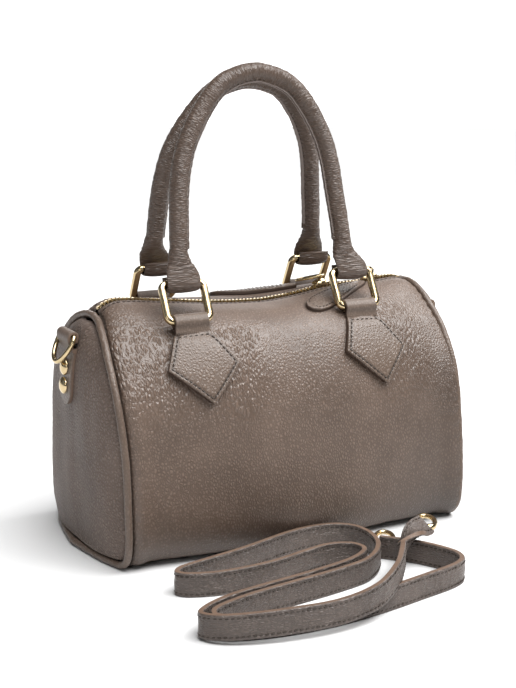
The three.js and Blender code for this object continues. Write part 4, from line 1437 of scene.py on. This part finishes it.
def strap_frame(at):
    """Centre, direction across the width and direction across the thickness of the strap."""
    along = strap_spot(np.minimum(at + 0.5, STRAP_END)) - strap_spot(np.maximum(at - 0.5, 0))
    level = unit(vec(along[..., 1], -along[..., 0], 0))
    tilt = np.radians(smooth_at(STRAP_ROUTE, "tilt", at))
    wide = directed(UP, np.cos(tilt), level, np.sin(tilt))
    thick = directed(level, np.cos(tilt), UP, -np.sin(tilt))
    return strap_spot(at), wide, thick


def make_strap(materials, stitches):
    """Strap with its rows of stitches; gives the piece and points along its middle."""
    at = np.linspace(0, STRAP_END, int(STRAP_END / 1.1))
    centre, wide, thick = strap_frame(at)
    half, deep = STRAP["width"] / 2, STRAP["thick"] / 2
    parts = across_parts(15)[0]
    edge = half * (1 - np.abs(parts))
    profile = deep - edge_roll(edge, 0.35) - 0.22 * bell(edge - STRAP_STITCH, 0.45)
    faces = []
    for face in (1, -1):
        crease = 0.24 * noise(at[:, None] / 2 + 1.4 * parts, parts * 2.2, 71 + face)
        crease += 0.26 * noise(at[:, None] / 5 - 1.2 * parts, parts * 2.6, 75 + face)
        out = face * (profile + crease * ease(edge / 1.5))
        faces.append(centre[:, None, :] + directed(wide[:, None, :], half * parts, thick[:, None, :], out))
        for row in (1, -1):
            path = centre + wide * (row * (half - STRAP_STITCH)) + thick * (face * (deep - 0.15))
            stitches.append(stitch_row(path, thick * face, pitch=3.1, length=2.3))
    shape, marks = strip(*faces)
    flat = [vec(at[:, None], half * across, depth) for across, depth in ((parts, 0), (parts[::-1], 20))]
    strap = add_piece(
        "shoulder_strap",
        shape,
        materials,
        "bag",
        "strap_leather",
        ["strap"],
        marks=marks,
        grain=np.full((len(at), 2 * len(parts)), 0.76),
        flow=np.concatenate(flat, 1),
    )
    return strap, strap_spot(np.linspace(0, STRAP_END, 400))


def make_hook(name, material):
    """Snap hook: an oval loop with a thick root and a thumb lever."""
    x, y, z, heading = HOOKS[name]
    turn = math.radians(heading)
    reach = np.array([math.cos(turn), math.sin(turn), 0])
    across = np.array([-math.sin(turn), math.cos(turn), 0])
    steps = turns(48)
    around = turns(12)

    def spot(step):
        forwards = HOOK["length"] / 2 * (1 - np.cos(step))
        return vec(x, y, z) + directed(reach, forwards, across, HOOK["half_width"] * np.sin(step))

    along = unit(spot(steps + 0.03) - spot(steps - 0.03))
    sideways = np.cross(along, UP)
    radius = mix(HOOK["wire"], HOOK["base"], ease(np.cos(steps) * 2 - 1))
    ring = circle(sideways[:, None, :], UP, radius[:, None], around)
    loop = tube(spot(steps)[:, None, :] + ring, closed=True)
    lever = []
    for part, size in ((0.12, 0.4), (0.2, 0.8), (0.5, 0.9), (0.8, 0.8), (0.88, 0.4)):
        centre = spot(mix(1.0, 2.2, part)) + across * 1.2
        lever.append(centre + circle(across, UP, 1.1 * size, around))
    shape = joined([loop, tube(refine(lever, 4))])
    add_piece(f"snap_hook_{name}", shape, [material], "bag", "gold", [f"strap_hook_{name}"])


# The scene

bpy.context.scene.view_settings.view_transform = "Standard"
make_camera()
make_world(0.1)
make_stage("floor", [(0.001, 0), (5, 0)], 0.7, 0)
make_backdrop(5, 6)
make_sun("key", (0.13, -0.3, 0.93), 4.6, 56)
make_light("glint", (0.95, -0.1, 1.1), (0, 0, 0.1), (0.8, 0.6), 10)
make_light("side", (-1.5, 0.3, 0.6), (-0.1, 0, 0.08), (0.6, 0.9), 0.5, (0.6, 0.78, 1.0))
make_light("front", (-1.3, -1.4, 0.9), (0, 0, 0.1), (0.9, 0.7), 4)
make_light("rim", (0.6, 1.2, 0.65), (0, 0, 0.15), (1.2, 0.4), 5)
make_light("spark", (0.62, -0.7, 1.25), (0, 0, 0.1), (0.5, 0.5), 6)

# Fine and coarse pebbles and the depth of the relief, in millimetres, and the roughness if it isn't the usual
END_GRAIN = [(1.8, 2.2, 2), (1.9, 3.2, 2), 1.4, 0.4]
BODY_GRAIN = [(1.6, 2.2, 2), (1.8, 4.6, 2), 0.58]
TRIM_GRAIN = [(1.8, 1.8, 2.4), (1.8, 1.8, 2.8), 0.44, 0.27]
GRIP_GRAIN = [(1.0, 3.2, 2), (1.1, 5.0, 2), 0.46, 0.37]
STRAP_GRAIN = [(2.2, 1.0, 2), (5.2, 1.5, 2), 0.7, 0.36]
# The end panels are the body's leather, in a copy with cooler colours and a lighter top, which paints the
# cool light falling on them.
END = leather("leather_end", colour(66, 54, 47), colour(134, 117, 107), *END_GRAIN, flow=True, shine=0.3)
BODY = leather("leather_body", colour(68, 54, 44), colour(128, 108, 95), *BODY_GRAIN, flow=True, shine=0.6)
TRIM = leather("leather_trim", colour(79, 65, 55), colour(118, 101, 89), *TRIM_GRAIN)
GRIP = leather("leather_grip", colour(60, 47, 39), colour(108, 90, 78), *GRIP_GRAIN, flow=True)
STRAP_FACE = leather("leather_strap", colour(54, 46, 42), colour(120, 107, 99), *STRAP_GRAIN, flow=True)
EDGE = painted_edge("edge_paint", colour(38, 27, 20), colour(76, 57, 45))
STRAP_EDGE = painted_edge("strap_edge", colour(72, 55, 43), colour(118, 95, 79))
SEAM_LIP = painted_edge("seam_lip", colour(104, 92, 86), colour(150, 138, 132))
THREAD = thread("thread", colour(26, 19, 14), colour(60, 47, 37))
GOLD = gold("gold_plate", (0.55, 0.42, 0.23, 1), (0.72, 0.58, 0.36, 1))
TAPE = woven("zip_cloth", colour(44, 34, 28), colour(92, 76, 64))

bag_stitches, strap_stitches, handle_stitches = [], [], {}
strap, strap_path = make_strap([STRAP_FACE, STRAP_EDGE], strap_stitches)
for hook_name in HOOKS:
    make_hook(hook_name, GOLD)
make_body([BODY])
for end_name, end_side in (("left", LEFT), ("right", RIGHT)):
    make_end_panel(end_name, end_side, [END])
    make_piping(end_name, end_side, [TRIM])
    make_tab(end_name, end_side, [TRIM, STRAP_EDGE])
    make_d_ring(end_name, end_side, GOLD)
    make_rivets(end_name, end_side, GOLD)
make_feet(GOLD)
make_zip(TAPE, GOLD, bag_stitches)
for slider_name in SLIDERS:
    make_slider(slider_name, GOLD)
    make_link(slider_name, GOLD)
    make_pull(slider_name, [TRIM, EDGE], bag_stitches)
for chape_name in CHAPES:
    make_ring(chape_name, GOLD)
    make_chape(chape_name, [TRIM, EDGE], bag_stitches)
for handle_name in HANDLES:
    make_handle(handle_name, [GRIP, SEAM_LIP], handle_stitches)

add_piece("bag_stitches", joined(bag_stitches), [THREAD], "bag", "trim_leather")
add_piece("strap_stitches", joined(strap_stitches), [THREAD], "bag", "strap_leather")
for body_name, rows in handle_stitches.items():
    add_piece(f"{body_name}_stitches", joined(rows), [THREAD], body_name, "trim_leather")
